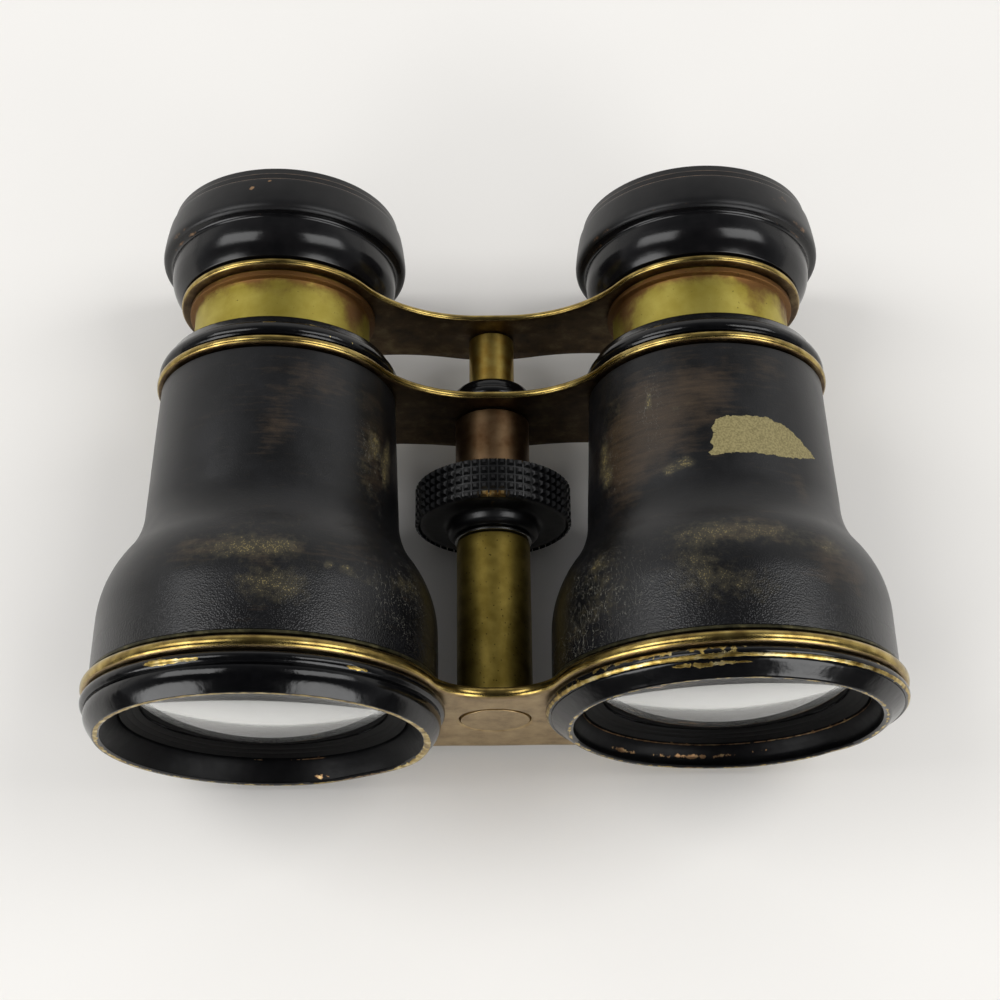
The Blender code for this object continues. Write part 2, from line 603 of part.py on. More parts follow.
def focus_wheel(carrier, finishes):
    """The knurled wheel and the threaded nut pressed into its hub.

    The rim is a band of square cells, and each cell is raised to a point.
    """
    z = -COLUMN_DROP
    rim_front = WHEEL_FRONT_STATION + WHEEL_CHAMFER
    rim_back = WHEEL_BACK_STATION - WHEEL_CHAMFER
    web_radius = WHEEL_RADIUS - WHEEL_RIM_WALL
    band_radius = WHEEL_RADIUS - KNURL_HEIGHT
    band = [(band_radius, rim_front + (rim_back - rim_front) * i / KNURL_ROWS)
            for i in range(KNURL_ROWS + 1)]
    profile = [(WHEEL_BORE, HUB_FRONT_STATION), (WHEEL_HUB_RADIUS, HUB_FRONT_STATION),
               (WHEEL_HUB_RADIUS, WHEEL_FRONT_STATION + WHEEL_DISH),
               (web_radius, WHEEL_FRONT_STATION)] + band
    profile += [(web_radius, WHEEL_BACK_STATION), (WHEEL_BORE, WHEEL_BACK_STATION)]
    bm = spun(profile, KNURL_COLUMNS)
    bmesh.ops.recalc_face_normals(bm, faces=bm.faces)
    cells = [face for face in bm.faces
             if all(math.hypot(v.co.x, v.co.z) > band_radius - 1e-5 for v in face.verts)]
    bmesh.ops.poke(bm, faces=cells, offset=KNURL_HEIGHT)
    add_object("focus_wheel", bm, (0.0, HUB_FRONT_STATION, z), carrier, finishes["japan"])

    nut = [(WHEEL_NUT_BORE, HUB_FRONT_STATION), (WHEEL_NUT_RADIUS, HUB_FRONT_STATION),
           (WHEEL_NUT_RADIUS, WHEEL_BACK_STATION), (WHEEL_NUT_BORE, WHEEL_BACK_STATION)]
    turned("wheel_nut", nut, carrier, finishes["brass"], z=z, facets=INNER_FACETS)


def focus_post(carrier, finishes):
    """The post under the eye bridge, its stop, and the screw that holds it to the bridge.

    The plain part runs in the gland nut, the threaded part in the wheel's nut. The stop at
    the end of the thread meets the washer when the eyepieces are fully out.
    """
    z = -COLUMN_DROP
    post_top = EYE_FRONT - SEAT_GAP
    plain_foot = WHEEL_BACK_STATION + TRAVEL_IN + 2 * RUNNING_GAP
    stop_top = HUB_FRONT_STATION - TRAVEL_OUT - 2 * RUNNING_GAP - WASHER_THICKNESS
    stop_foot = stop_top - POST_STOP_LENGTH
    tip_radius = POST_SCREW_RADIUS - POST_TIP_STEP
    bore = BRIDGE_SCREW_RADIUS + SEAT_GAP
    bore_foot = post_top - BRIDGE_SCREW_LENGTH - SEAT_GAP
    post = [(0.0, stop_foot), (tip_radius, stop_foot), (tip_radius, stop_top + SEAT_GAP),
            (POST_SCREW_RADIUS, stop_top + SEAT_GAP), (POST_SCREW_RADIUS, plain_foot),
            (POST_RADIUS, plain_foot), (POST_RADIUS, post_top), (bore, post_top),
            (bore, bore_foot), (0.0, bore_foot)]
    turned("focus_post", post, carrier, finishes["brass"], z=z, facets=INNER_FACETS)
    stop = [(tip_radius + SEAT_GAP, stop_foot), (POST_STOP_RADIUS, stop_foot),
            (POST_STOP_RADIUS, stop_top), (tip_radius + SEAT_GAP, stop_top)]
    turned("post_stop", stop, carrier, finishes["steel"], z=z, facets=INNER_FACETS)

    head_foot = EYE_BACK + SEAT_GAP
    head_top = head_foot + BRIDGE_SCREW_HEAD_HEIGHT
    cheek_top = head_foot + BRIDGE_SCREW_CHEEK
    crown = [(BRIDGE_SCREW_HEAD_RADIUS * math.cos(a),
              cheek_top + (head_top - cheek_top) * math.sin(a))
             for a in (0.0, math.pi / 6, math.pi / 3)]
    screw = [(0.0, post_top - BRIDGE_SCREW_LENGTH),
             (BRIDGE_SCREW_RADIUS, post_top - BRIDGE_SCREW_LENGTH),
             (BRIDGE_SCREW_RADIUS, head_foot), (BRIDGE_SCREW_HEAD_RADIUS, head_foot)] + crown
    screw.append((0.0, head_top))
    piece = turned("bridge_screw", screw, carrier, finishes["brass"], z=z, facets=INNER_FACETS)

    blade = bmesh.new()
    bmesh.ops.create_cube(blade, size=1.0)
    bmesh.ops.scale(blade, verts=blade.verts, vec=(
        3 * BRIDGE_SCREW_HEAD_RADIUS, 2 * BRIDGE_SCREW_SLOT_DEPTH, BRIDGE_SCREW_SLOT))
    cutter = add_object("bridge_screw_blade", blade, (0.0, head_top, z), carrier)
    cutter.hide_render = True
    cutter.display_type = "WIRE"
    slot = piece.modifiers.new("slot", "BOOLEAN")
    slot.operation = "DIFFERENCE"
    slot.object = cutter


def rest_on_table(root):
    """Tip the glasses, then set the middle of their footprint on the origin."""
    root.rotation_euler = (-TILT, 0.0, 0.0)
    bpy.context.view_layer.update()
    corners = []
    for piece in bpy.data.objects:
        if piece.type == "MESH" and not piece.hide_render:
            corners += [piece.matrix_world @ vertex.co for vertex in piece.data.vertices]
    for axis in range(2):
        values = [corner[axis] for corner in corners]
        root.location[axis] -= (min(values) + max(values)) / 2
    root.location[2] -= min(corner[2] for corner in corners)
    bpy.context.view_layer.update()


for old in list(bpy.data.objects):
    bpy.data.objects.remove(old, do_unlink=True)

FINISHES = {
    "brass": finish("aged_brass", (0.32, 0.24, 0.07), 0.38, 1.0),
    "dark_brass": finish("patinated_brass", (0.16, 0.11, 0.05), 0.45, 1.0),
    "copper": finish("brown_brass", (0.20, 0.13, 0.07), 0.45, 1.0),
    "japan": finish("black_japan", (0.010, 0.010, 0.011), 0.22, 0.0),
    "matt": finish("matt_black_paint", (0.012, 0.012, 0.012), 0.70, 0.0),
    "leather": finish("black_leather", (0.020, 0.019, 0.019), 0.55, 0.0),
    "steel": finish("bright_steel", (0.55, 0.55, 0.55), 0.25, 1.0),
    "felt": finish("black_felt", (0.015, 0.015, 0.015), 0.95, 0.0),
    "glass": finish("crown_glass", (0.95, 0.97, 0.96), 0.03, 0.0, transmission=1.0),
}

ROOT = empty("field_glasses")
BODY = empty("body", parent=ROOT)
WHEEL = empty("wheel_axis", (0.0, WHEEL_FRONT_STATION, -COLUMN_DROP), ROOT)
CARRIAGE = empty("eyepiece_carriage", (0.0, EYE_FRONT, -COLUMN_DROP), ROOT)

lower_outline = bridge_outline(LOWER_RING_RADIUS, LOWER_WAIST_TOP, LOWER_WAIST_HALF_FLAT,
                               LOWER_FOOT, LOWER_BOSS_RADIUS, LOWER_FOOT_FILLET)
middle_outline = bridge_outline(MIDDLE_RING_RADIUS, MIDDLE_WAIST_TOP, MIDDLE_WAIST_HALF_FLAT,
                                MIDDLE_FOOT, MIDDLE_BOSS_RADIUS, MIDDLE_FOOT_FILLET)
eye_outline = bridge_outline(EYE_RING_RADIUS, EYE_WAIST_TOP, EYE_WAIST_HALF_FLAT,
                             EYE_FOOT, EYE_BOSS_RADIUS, EYE_FOOT_FILLET)
lower_bores = [(0.0, -COLUMN_DROP, PLUG_HEAD_RADIUS + SEAT_GAP, INNER_FACETS)]
middle_bores = [(0.0, -COLUMN_DROP, SLEEVE_BORE, SMALL_FACETS)]
eye_bores = [(0.0, -COLUMN_DROP, BRIDGE_SCREW_RADIUS + SEAT_GAP, INNER_FACETS)]
for across in (-HALF_SPACING, HALF_SPACING):
    lower_bores.append((across, 0.0, BARREL_FOOT_BORE, LARGE_FACETS))
    middle_bores.append((across, 0.0, BARREL_TOP_BORE, MEDIUM_FACETS))
    eye_bores.append((across, 0.0, DRAW_TUBE_RADIUS + SEAT_GAP, MEDIUM_FACETS))
bridge("lower_bridge", 0.0, LOWER_THICKNESS, lower_outline, lower_bores, BODY,
       FINISHES["dark_brass"], edge=LOWER_CHAMFER)
bridge("middle_bridge", MIDDLE_FRONT, MIDDLE_THICKNESS, middle_outline, middle_bores, BODY,
       FINISHES["dark_brass"])
bridge("eye_bridge", EYE_FRONT, EYE_THICKNESS, eye_outline, eye_bores, CARRIAGE,
       FINISHES["dark_brass"])

objective("left", -HALF_SPACING, LEFT_HOOD_REACH, LEFT_LIP_RADIUS, BODY, FINISHES)
objective("right", HALF_SPACING, RIGHT_HOOD_REACH, RIGHT_LIP_RADIUS, BODY, FINISHES)
for side_name, across in (("left", -HALF_SPACING), ("right", HALF_SPACING)):
    barrel(side_name, across, BODY, FINISHES["brass"], FINISHES["leather"])
    collar(side_name, across, BODY, FINISHES["japan"], FINISHES["felt"])
    eyepiece(side_name, across, CARRIAGE, FINISHES)
column(BODY, FINISHES)
focus_wheel(WHEEL, FINISHES)
focus_post(CARRIAGE, FINISHES)
rest_on_table(ROOT)
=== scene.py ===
"""Field glasses of the rigid kind, finished as an old pair: worn japan, aged brass, rubbed leather.

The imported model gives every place. Sizes are in millimetres of the optical frame, which has
x across the barrels, y along them towards the eyes and z up, with y = 0 on the front of the
lower bridge and z = 0 on the optical axes. Left and right are as seen from the objectives.
"""
import math

import bmesh
import bpy
from mathutils import Matrix, Vector, noise
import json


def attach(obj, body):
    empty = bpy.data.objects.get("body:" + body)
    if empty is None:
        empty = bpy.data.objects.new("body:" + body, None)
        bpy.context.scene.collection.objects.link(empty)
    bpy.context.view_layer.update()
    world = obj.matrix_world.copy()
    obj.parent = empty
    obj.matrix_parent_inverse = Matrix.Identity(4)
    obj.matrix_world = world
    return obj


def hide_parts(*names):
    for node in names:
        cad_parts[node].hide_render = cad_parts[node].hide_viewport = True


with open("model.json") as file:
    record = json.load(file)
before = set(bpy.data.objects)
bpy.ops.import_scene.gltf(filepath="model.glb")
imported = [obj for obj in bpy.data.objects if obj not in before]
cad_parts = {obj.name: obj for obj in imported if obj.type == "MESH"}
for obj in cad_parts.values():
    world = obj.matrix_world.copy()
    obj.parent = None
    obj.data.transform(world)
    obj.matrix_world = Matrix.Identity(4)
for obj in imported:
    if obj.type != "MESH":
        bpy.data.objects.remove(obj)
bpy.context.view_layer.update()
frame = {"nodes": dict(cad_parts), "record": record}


# Barrel tubes: two brass tubes spun to a bell, soldered to the bridges and blackened inside.
# Leather hides them but for the flange at the foot, which shows as a thin olive line.
# The axis of the wheel's joint says how far the glasses tip up, and where they stand.
TURN_OF_WHEEL = next(joint for joint in frame["record"]["behaviour"]["joints"]
                     if joint["name"] == "focus_wheel_turn")
TILT = math.atan2(TURN_OF_WHEEL["axis"][2], -TURN_OF_WHEEL["axis"][1])
WHEEL_FRONT = 29.8
COLUMN_Z = -8.2
TIPPED = Matrix.Rotation(-TILT, 4, "X") @ Matrix.Scale(0.001, 4)
SEAT = Vector(TURN_OF_WHEEL["pos_m"]) - TIPPED @ Vector((0, WHEEL_FRONT, COLUMN_Z))
GLASSES = Matrix.Translation(SEAT) @ TIPPED
AXIS_X = 31.5
SIDES = (("left", -AXIS_X), ("right", AXIS_X))


def linear(colour):
    """An sRGB hex colour as the linear one that shaders use."""
    parts = [int(colour[i:i + 2], 16) / 255 for i in (1, 3, 5)]
    return (*[c / 12.92 if c <= 0.04045 else ((c + 0.055) / 1.055) ** 2.4 for c in parts], 1.0)


def put(tree, kind, sockets=None, stops=(), **settings):
    """Add a node, or take one, and give it settings, colour stops, values and links.

    A kind without the word Node in it is a shader node, a value that is a node stands for its
    first output, and a hex colour is made linear.
    """
    node = kind
    if isinstance(kind, str):
        node = tree.nodes.new(kind if "Node" in kind else "ShaderNode" + kind)
    for key, value in settings.items():
        setattr(node, key, value)
    for i, (place, colour) in enumerate(stops):
        ramp = node.color_ramp.elements
        stop = ramp[i] if i < 2 else ramp.new(place)
        stop.position = place
        stop.color = linear(colour)
    for key, value in (sockets or {}).items():
        if isinstance(value, bpy.types.Node):
            value = value.outputs[0]
        elif isinstance(value, str) and value.startswith("#"):
            value = linear(value)
        if isinstance(value, bpy.types.NodeSocket):
            tree.links.new(value, node.inputs[key])
        else:
            node.inputs[key].default_value = value
    return node


def finish(name):
    """A new material, its tree, its shader, and places on the piece in millimetres."""
    material = bpy.data.materials.new(name)
    material.use_nodes = True
    tree = material.node_tree
    where = put(tree, "TexCoord")
    place = put(tree, "Mapping", {
        "Vector": where.outputs["Object"], "Scale": (1000, 1000, 1000),
        "Rotation": (TILT, 0, 0), "Location": GLASSES.inverted().translation})
    return material, tree, tree.nodes["Principled BSDF"], place


def arc(centre, radius, start, end, steps):
    """Points on an arc, both ends included, angles in radians."""
    turns = [start + (end - start) * i / steps for i in range(steps + 1)]
    return [(centre[0] + radius * math.cos(a), centre[1] + radius * math.sin(a)) for a in turns]


def marked(marks, angle, station):
    """How strongly the marks (angle, station, half angle, half length, strength) reach a point."""
    reach = 0.0
    for at, along, wide, long, strength in marks:
        around = (angle - at + 180) % 360 - 180
        reach += strength * math.exp(-(around / wide) ** 2 - ((station - along) / long) ** 2)
    return reach


def weld(mesh):
    """Merge the doubles of a mesh and turn its faces outwards."""
    bm = bmesh.new()
    bm.from_mesh(mesh)
    bmesh.ops.remove_doubles(bm, verts=bm.verts, dist=1e-4)
    bmesh.ops.recalc_face_normals(bm, faces=bm.faces)
    bm.to_mesh(mesh)
    bm.free()


def brush_on(mesh, name, values):
    """Paint an attribute on a mesh, with one value for each point."""
    mesh.attributes.new(name, "FLOAT", "POINT").data.foreach_set("value", values)


def turned(section, x=0.0, z=0.0, steps=192, paints=None, shape=None):
    """A mesh spun from a section of (radius, station) or (radius, station, wear at an edge).

    paints gives lists of marks by the name of the attribute that they are painted into, and
    shape moves the surface in or out. Angles are in degrees, 0 on top and 90 to the right.
    """
    rows = len(section)
    verts = []
    paints = {"wear": (), **(paints or {})}
    values = {key: [] for key in paints}
    for i in range(steps):
        angle = 360 * i / steps
        for radius, station, *edge in section:
            if shape and radius > 0:
                radius += shape(angle, station, radius)
            verts.append((x + radius * math.sin(math.radians(angle)), station,
                          z + radius * math.cos(math.radians(angle))))
            for key, value in values.items():
                base = edge[0] if key == "wear" and edge else 0.0
                value.append(base + marked(paints[key], angle, station))
    joined = rows if section[0][0] > 0 else rows - 1
    faces = []
    for i in range(steps):
        j = (i + 1) % steps
        for k in range(joined):
            n = (k + 1) % rows
            faces.append((i * rows + k, i * rows + n, j * rows + n, j * rows + k))
    mesh = bpy.data.meshes.new("turned")
    mesh.from_pydata(verts, [], faces)
    for key, value in values.items():
        brush_on(mesh, key, value)
    weld(mesh)
    return mesh


def refinish(mesh, x, test):
    """Give the second material where a face's radius, and how far it looks outward, pass a test."""
    for face in mesh.polygons:
        around = Vector((face.center.x - x, 0, face.center.z))
        face.material_index = int(test(around.length, face.normal.dot(around)))


def dress(name, mesh, materials, slot, body, *nodes):
    """Set a mesh in its place as a piece that rides on a body and stands for nodes.

    Edges that turn by more than 38 degrees stay sharp.
    """
    mesh.name = name
    mesh.transform(GLASSES)
    mesh.shade_smooth()
    mesh.set_sharp_from_angle(angle=math.radians(38))
    for material in materials:
        mesh.materials.append(material)
    piece = bpy.data.objects.new(name, mesh)
    bpy.context.scene.collection.objects.link(piece)
    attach(piece, body)
    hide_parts(*nodes)


def tarnished(name, clouds, tones, fine, least, most, relief=0.0):
    """A bare metal that has clouded over, with a fine grain in its gloss and its surface.

    clouds and fine give the settings of their noise, least and most the range of roughness.
    """
    material, tree, shader, place = finish(name)
    cloud = put(tree, "TexNoise", {"Vector": place, **clouds})
    tone = put(tree, "ValToRGB", {"Fac": cloud}, stops=tones)
    grit = put(tree, "TexNoise", {"Vector": place, **fine})
    gloss = put(tree, "MapRange", {"Value": grit, "To Min": least, "To Max": most})
    put(tree, shader, {"Base Color": tone, "Metallic": 1.0, "Roughness": gloss})
    if relief:
        bump = put(tree, "Bump", {"Height": grit, "Strength": relief, "Distance": 0.0001})
        put(tree, shader, {"Normal": bump})
    return material, tree, shader, place, tone


# Dull brass: never polished since it was soldered, so it has gone greenish grey and matt
DULL_BRASS, *_ = tarnished(
    "dull_tarnished_brass", {"Scale": 0.6, "Detail": 7, "Roughness": 0.65},
    [(0.35, "#2c2b20"), (0.55, "#494633"), (0.72, "#716b4b")],
    {"Scale": 5.0, "Detail": 4}, 0.42, 0.58, relief=0.25)

# Matt black paint inside the tubes, which drinks stray light
BLACKING, tree, shader, place = finish("matt_blacking")
put(tree, shader, {"Base Color": "#0c0c0c", "Roughness": 0.75})


def bell(inset, foot, top):
    """Side of a barrel: a steep foot, an ovolo and a cove that touch, and a slender taper."""
    bottom, shoulder, neck, mouth = 23.70, 23.55, 17.95, 17.12
    low, high, cove_radius = 10.0, 27.0, 12.5
    both = ((high - low) ** 2 + (shoulder - neck) ** 2) / (2 * (shoulder - neck))
    ovolo_radius = both - cove_radius
    ovolo = (shoulder - ovolo_radius, low)
    cove = (neck + cove_radius, high)
    turn = math.atan2(cove[1] - ovolo[1], cove[0] - ovolo[0])
    side = [(bottom + (shoulder - bottom) * i / 12, foot + (low - foot) * i / 12)
            for i in range(12)]
    side += arc(ovolo, ovolo_radius, 0.0, turn, 14)
    side += arc(cove, cove_radius, turn - math.pi, -math.pi, 12)[1:]
    side += [(neck + (mouth - neck) * i / 26, high + (top - high) * i / 26)
             for i in range(1, 27)]
    return [(radius - inset, station) for radius, station in side]


FLANGE = [(22.15, 2.0), (23.76, 2.0), (23.88, 2.12), (23.88, 2.38), (23.80, 2.5)]
UNDER_LEATHER, BORE_INSET = 0.8, 1.55
for side, x in SIDES:
    bore = bell(BORE_INSET, 2.0, 46.6)
    tube = turned(FLANGE + bell(UNDER_LEATHER, 2.5, 46.6) + bore[:0:-1], x)
    refinish(tube, x, lambda radius, outward: outward < 0)
    dress(f"{side}_brass_barrel", tube, [DULL_BRASS, BLACKING], "brass", "glasses_body",
          f"barrel_tube_{side}")


# Leather covers: thin grained leather glued round each barrel, blackened at the factory.
# Handling has polished it, hazed it grey where worn, browned it, and rubbed it to the brass at the
# shoulder. The lighter grey middles of its pebbles are a painted highlight.
# The pebbles of the grain are a quarter of a millimetre apart, which just shows.
def broken(tree, place, painted, size, spread=1.0, edge=0.05):
    """A painted attribute broken up by noise: 0.3 gives specks, 0.5 half the area, 0.75 all."""
    cloud = put(tree, "TexNoise", {
        "Vector": place, "Scale": 1 / size, "Detail": 8, "Roughness": 0.62})
    paint = put(tree, "Attribute", attribute_name=painted)
    both = put(tree, "Math", {
        0: cloud, 1: spread, 2: paint.outputs["Fac"]}, operation="MULTIPLY_ADD")
    middle = 0.5 + spread / 2
    return put(tree, "MapRange", {
        "Value": both, "From Min": middle - edge, "From Max": middle + edge},
        interpolation_type="SMOOTHSTEP")


LEATHER, tree, shader, place = finish("black_grained_leather")
pebble = put(tree, "TexVoronoi", {"Vector": place, "Scale": 3.9})
crease = put(tree, "MapRange", {
    "Value": pebble.outputs["Distance"], "From Min": 0.10, "From Max": 0.62})
brushed = put(tree, "Mapping", {"Vector": place, "Scale": (0.22, 1.5, 0.22)})
strokes = put(tree, "TexNoise", {"Vector": brushed, "Scale": 1.0, "Detail": 7, "Roughness": 0.7})
patina = put(tree, "TexNoise", {"Vector": place, "Scale": 0.16, "Detail": 6, "Roughness": 0.6})
black = put(tree, "ValToRGB", {"Fac": patina}, stops=[(0.38, "#09090a"), (0.70, "#151517")])
depth = put(tree, "Attribute", attribute_name="grain")
# The middle of each pebble is painted a lighter grey, most towards the foot: a painted highlight on
# the pebbles.
painted_pebble_highlights = put(tree, "MapRange", {
    "Value": pebble.outputs["Distance"], "From Min": 0.32, "From Max": 0.06})
painted_pebble_highlights = put(tree, "Math", {0: painted_pebble_highlights, 1: depth.outputs["Fac"]}, operation="MULTIPLY")
pebble_highlit_black = put(tree, "MixRGB", {"Fac": painted_pebble_highlights, "Color1": black, "Color2": "#222223"})
browned = broken(tree, place, "brown", 5.0, edge=0.42)
browned = put(tree, "Math", {0: strokes, 1: 1.9, 2: browned}, operation="MULTIPLY_ADD")
browned = put(tree, "MapRange", {"Value": browned, "From Min": 1.10, "From Max": 2.40})
tanned = put(tree, "MixRGB", {"Fac": browned, "Color1": pebble_highlit_black, "Color2": "#46392b"})
paint = put(tree, "Attribute", attribute_name="wear")
cloud = put(tree, "TexNoise", {"Vector": place, "Scale": 0.8, "Detail": 9, "Roughness": 0.72})
worn = put(tree, "Math", {0: cloud, 1: 1.2, 2: paint.outputs["Fac"]}, operation="MULTIPLY_ADD")
thin = put(tree, "MapRange", {
    "Value": worn, "From Min": 0.74, "From Max": 1.25, "To Max": 0.50},
    interpolation_type="SMOOTHSTEP")
hazed = put(tree, "MixRGB", {"Fac": thin, "Color1": tanned, "Color2": "#514b39"})
tips = put(tree, "MapRange", {"Value": crease, "To Min": 0.17, "To Max": -0.34})
worn = put(tree, "Math", {0: worn, 1: tips}, operation="ADD")
rubbed = put(tree, "MapRange", {
    "Value": worn, "From Min": 1.02, "From Max": 1.22, "To Max": 0.85},
    interpolation_type="SMOOTHSTEP")
olive = put(tree, "MixRGB", {"Fac": rubbed, "Color1": hazed, "Color2": "#786b45"})
# Hairline scratches, drawn a little wider than real ones so that they show
slant = put(tree, "Mapping", {
    "Vector": place, "Rotation": (0.5, 0.3, 0.8), "Scale": (1.3, 0.55, 1.0)})
hair = put(tree, "TexNoise", {"Vector": slant, "Scale": 1.0, "Detail": 3})
ridge = put(tree, "Math", {0: hair, 1: 0.5}, operation="SUBTRACT")
ridge = put(tree, "Math", {0: ridge}, operation="ABSOLUTE")
cut = put(tree, "Attribute", attribute_name="scratch")
reach = put(tree, "Math", {0: cut.outputs["Fac"], 1: 0.005}, operation="MULTIPLY")
scratched = put(tree, "Math", {0: ridge, 1: reach}, operation="LESS_THAN")
lined = put(tree, "MixRGB", {"Fac": scratched, "Color1": olive, "Color2": "#75736a"})
# Where the leather is torn off, the glue and dust on the brass show as a dry olive ground
gone = broken(tree, place, "bare", 0.9, spread=0.5, edge=0.02)
cloth = put(tree, "TexNoise", {"Vector": place, "Scale": 3.5, "Detail": 3})
ground = put(tree, "ValToRGB", {"Fac": cloth}, stops=[(0.36, "#736943"), (0.62, "#90855a")])
skin = put(tree, "MixRGB", {"Fac": gone, "Color1": lined, "Color2": ground})
grain = put(tree, "Math", {0: crease, 1: depth.outputs["Fac"]}, operation="MULTIPLY")
relief = put(tree, "Math", {0: strokes, 1: 0.3, 2: grain}, operation="MULTIPLY_ADD")
bump = put(tree, "Bump", {"Height": relief, "Strength": 0.34, "Distance": 0.00007}, invert=True)
gloss = put(tree, "MapRange", {
    "Value": patina, "From Min": 0.3, "From Max": 0.7, "To Min": 0.34, "To Max": 0.44})
kept_gloss = put(tree, "Mix", {0: depth.outputs["Fac"], 2: gloss, 3: 0.25})
bare_gloss = put(tree, "Mix", {0: gone, 2: kept_gloss, 3: 0.62})
put(tree, shader, {
    "Base Color": skin, "Roughness": bare_gloss, "Normal": bump, "Specular IOR Level": 0.37})

# Where the covers are worn: (angle, station, half angle, half length, strength) of each mark
LEATHER_MARKS = {
    "left": {
        "wear": [(0, 13.8, 9, 1.5, 0.50), (12, 14.2, 6, 1.6, 0.44), (4, 8.7, 9, 2.9, 0.44),
                 (15, 8.7, 7, 2.6, 0.40), (26, 12.4, 1.8, 0.5, 0.75), (32, 12.0, 2.4, 0.5, 0.72),
                 (58, 35, 5, 2.4, 0.60), (66, 31.5, 4, 3.0, 0.62), (70, 35, 4, 2.5, 0.55),
                 (52, 30, 7, 5.0, 0.32), (40, 11, 12, 2.0, 0.24), (-16, 14, 16, 2.2, 0.30),
                 (58, 12.5, 9, 2.0, 0.36), (48, 42, 8, 3, 0.24), (10, 41, 14, 2, 0.12),
                 (4, 17.5, 26, 2.6, 0.20)],
        "brown": [(14, 41, 24, 5, 0.34), (6, 33, 12, 5, 0.40), (-12, 14, 26, 2.8, 0.50),
                  (58, 34, 12, 10, 0.50), (30, 14, 24, 3, 0.36), (30, 42, 14, 4, 0.22)],
        "scratch": [(52, 10, 16, 5, 0.7), (62, 18, 8, 5, 0.5), (56, 33, 8, 5, 0.7)],
    },
    "right": {
        "wear": [(-8, 16.2, 20, 2.2, 0.36), (14, 15.6, 20, 2.1, 0.32), (-15, 12.0, 9, 4.0, 0.32),
                 (-10, 8.0, 13, 3.0, 0.27), (4, 8.0, 9, 2.5, 0.25), (-64, 33, 4.5, 3.2, 0.70),
                 (-60, 29.5, 4, 1.8, 0.60), (-19, 28.1, 5, 0.8, 0.78), (-26, 27.4, 4, 0.7, 0.74),
                 (-34.5, 38.6, 1.4, 1.8, 0.90), (34, 14.4, 8, 1.6, 0.34), (-50, 14, 10, 3, 0.34),
                 (-60, 6, 12, 4, 0.30), (-46, 9, 10, 3, 0.26), (-54, 40, 8, 3, 0.26),
                 (-52, 14.5, 1.6, 0.7, 0.50), (-22, 36.5, 2, 0.5, 0.5), (-14, 37, 6, 0.5, 0.30)],
        "brown": [(-34, 35, 24, 9, 0.80), (-50, 32, 14, 8, 0.60), (-8, 39, 18, 5, 0.56),
                  (24, 43, 18, 3, 0.40), (33, 25, 8, 4, 0.46), (36, 12, 14, 5, 0.56),
                  (0, 16, 24, 2.6, 0.50)],
        "scratch": [(-54, 12, 14, 5, 0.9), (-58, 5, 14, 4, 0.8), (-34, 38, 6, 5, 0.6),
                    (-30, 9, 14, 4, 0.5), (-60, 31, 8, 5, 0.6)],
    },
}


def between(points, x):
    """Height of a broken line at x."""
    for (x0, y0), (x1, y1) in zip(points, points[1:]):
        if x <= x1:
            return y0 + (y1 - y0) * (x - x0) / (x1 - x0)
    return points[-1][1]


def bare_patch(angle, station):
    """How far inside the torn-off patch of the right cover a point lies, around 0.5 at its edge."""
    around = (angle + 180) % 360 - 180
    if abs(around) > 60:
        return 0.0
    top = between([(-60, 33.2), (-8, 33.8), (0, 34.7), (10, 35.0), (20, 34.9), (28, 34.3),
                   (33, 33.5), (38, 32.5), (46, 30.8), (60, 28.0)], around)
    foot = between([(-60, 28.3), (-8, 28.6), (-2, 29.0), (7, 29.3), (20, 29.2), (32, 29.5),
                    (42, 30.3), (48, 31.0), (60, 32.0)], around)
    ragged = (around + 6.6 + 1.2 * math.sin(station * 3.7) + 0.7 * math.sin(station * 9.1)) / 9
    inside = 0.5 + 2.5 * min((top - station) / 6, (station - foot) / 6, ragged)
    for at, along in ((-3.4, 32.2), (-4.2, 30.9), (-2.0, 30.3)):
        inside -= 0.6 * math.exp(-((around - at) / 1.5) ** 2 - ((station - along) / 0.30) ** 2)
    return inside


def uneven(angle, station, radius):
    """Slight unevenness of glued leather, in millimetres."""
    a = math.radians(angle)
    spot = Vector((radius * math.sin(a), station, radius * math.cos(a))) / 9
    return 0.07 * noise.noise(spot)


for side, x in SIDES:
    outside = bell(0.0, 2.62, 46.4)
    lining = bell(0.5, 2.62, 46.4)
    cover = turned([(23.5, 2.52)] + outside + [(16.95, 46.58)] + lining[::-1], x, steps=256,
                   paints=LEATHER_MARKS[side], shape=uneven)
    spots = [vertex.co for vertex in cover.vertices]
    brush_on(cover, "grain", [0.25 + 0.75 * min(1.0, max(0.0, (14 - co.y) / 10)) for co in spots])
    brush_on(cover, "bare", [
        bare_patch(math.degrees(math.atan2(co.x - x, co.z)), co.y) if side == "right" else 0.0
        for co in spots])
    dress(f"{side}_leather_cover", cover, [LEATHER], "leather", "glasses_body",
          f"barrel_leather_{side}")


# Bridges: three plates stamped from sheet brass, their edges rounded and polished by handling.
# The lower and middle ones are soldered to the barrels, and the eye bridge slides on the post.
# Sheet brass with a patina: brown and streaky on the faces, tan in front, gold on rubbed edges.
BRIDGE_BRASS, tree, shader, place = finish("patinated_sheet_brass")
edge = put(tree, "Attribute", attribute_name="wear")
pale = put(tree, "Attribute", attribute_name="pale")
cloud = put(tree, "TexNoise", {"Vector": place, "Scale": 0.30, "Detail": 7, "Roughness": 0.65})
brown_face = put(tree, "ValToRGB", {"Fac": cloud}, stops=[
    (0.30, "#3d2f1e"), (0.52, "#5a4830"), (0.72, "#7d6c4c")])
tan_face = put(tree, "ValToRGB", {"Fac": cloud}, stops=[
    (0.30, "#7d6848"), (0.50, "#a08a66"), (0.70, "#b09a74")])
face_tone = put(tree, "MixRGB", {
    "Fac": pale.outputs["Fac"], "Color1": brown_face, "Color2": tan_face})
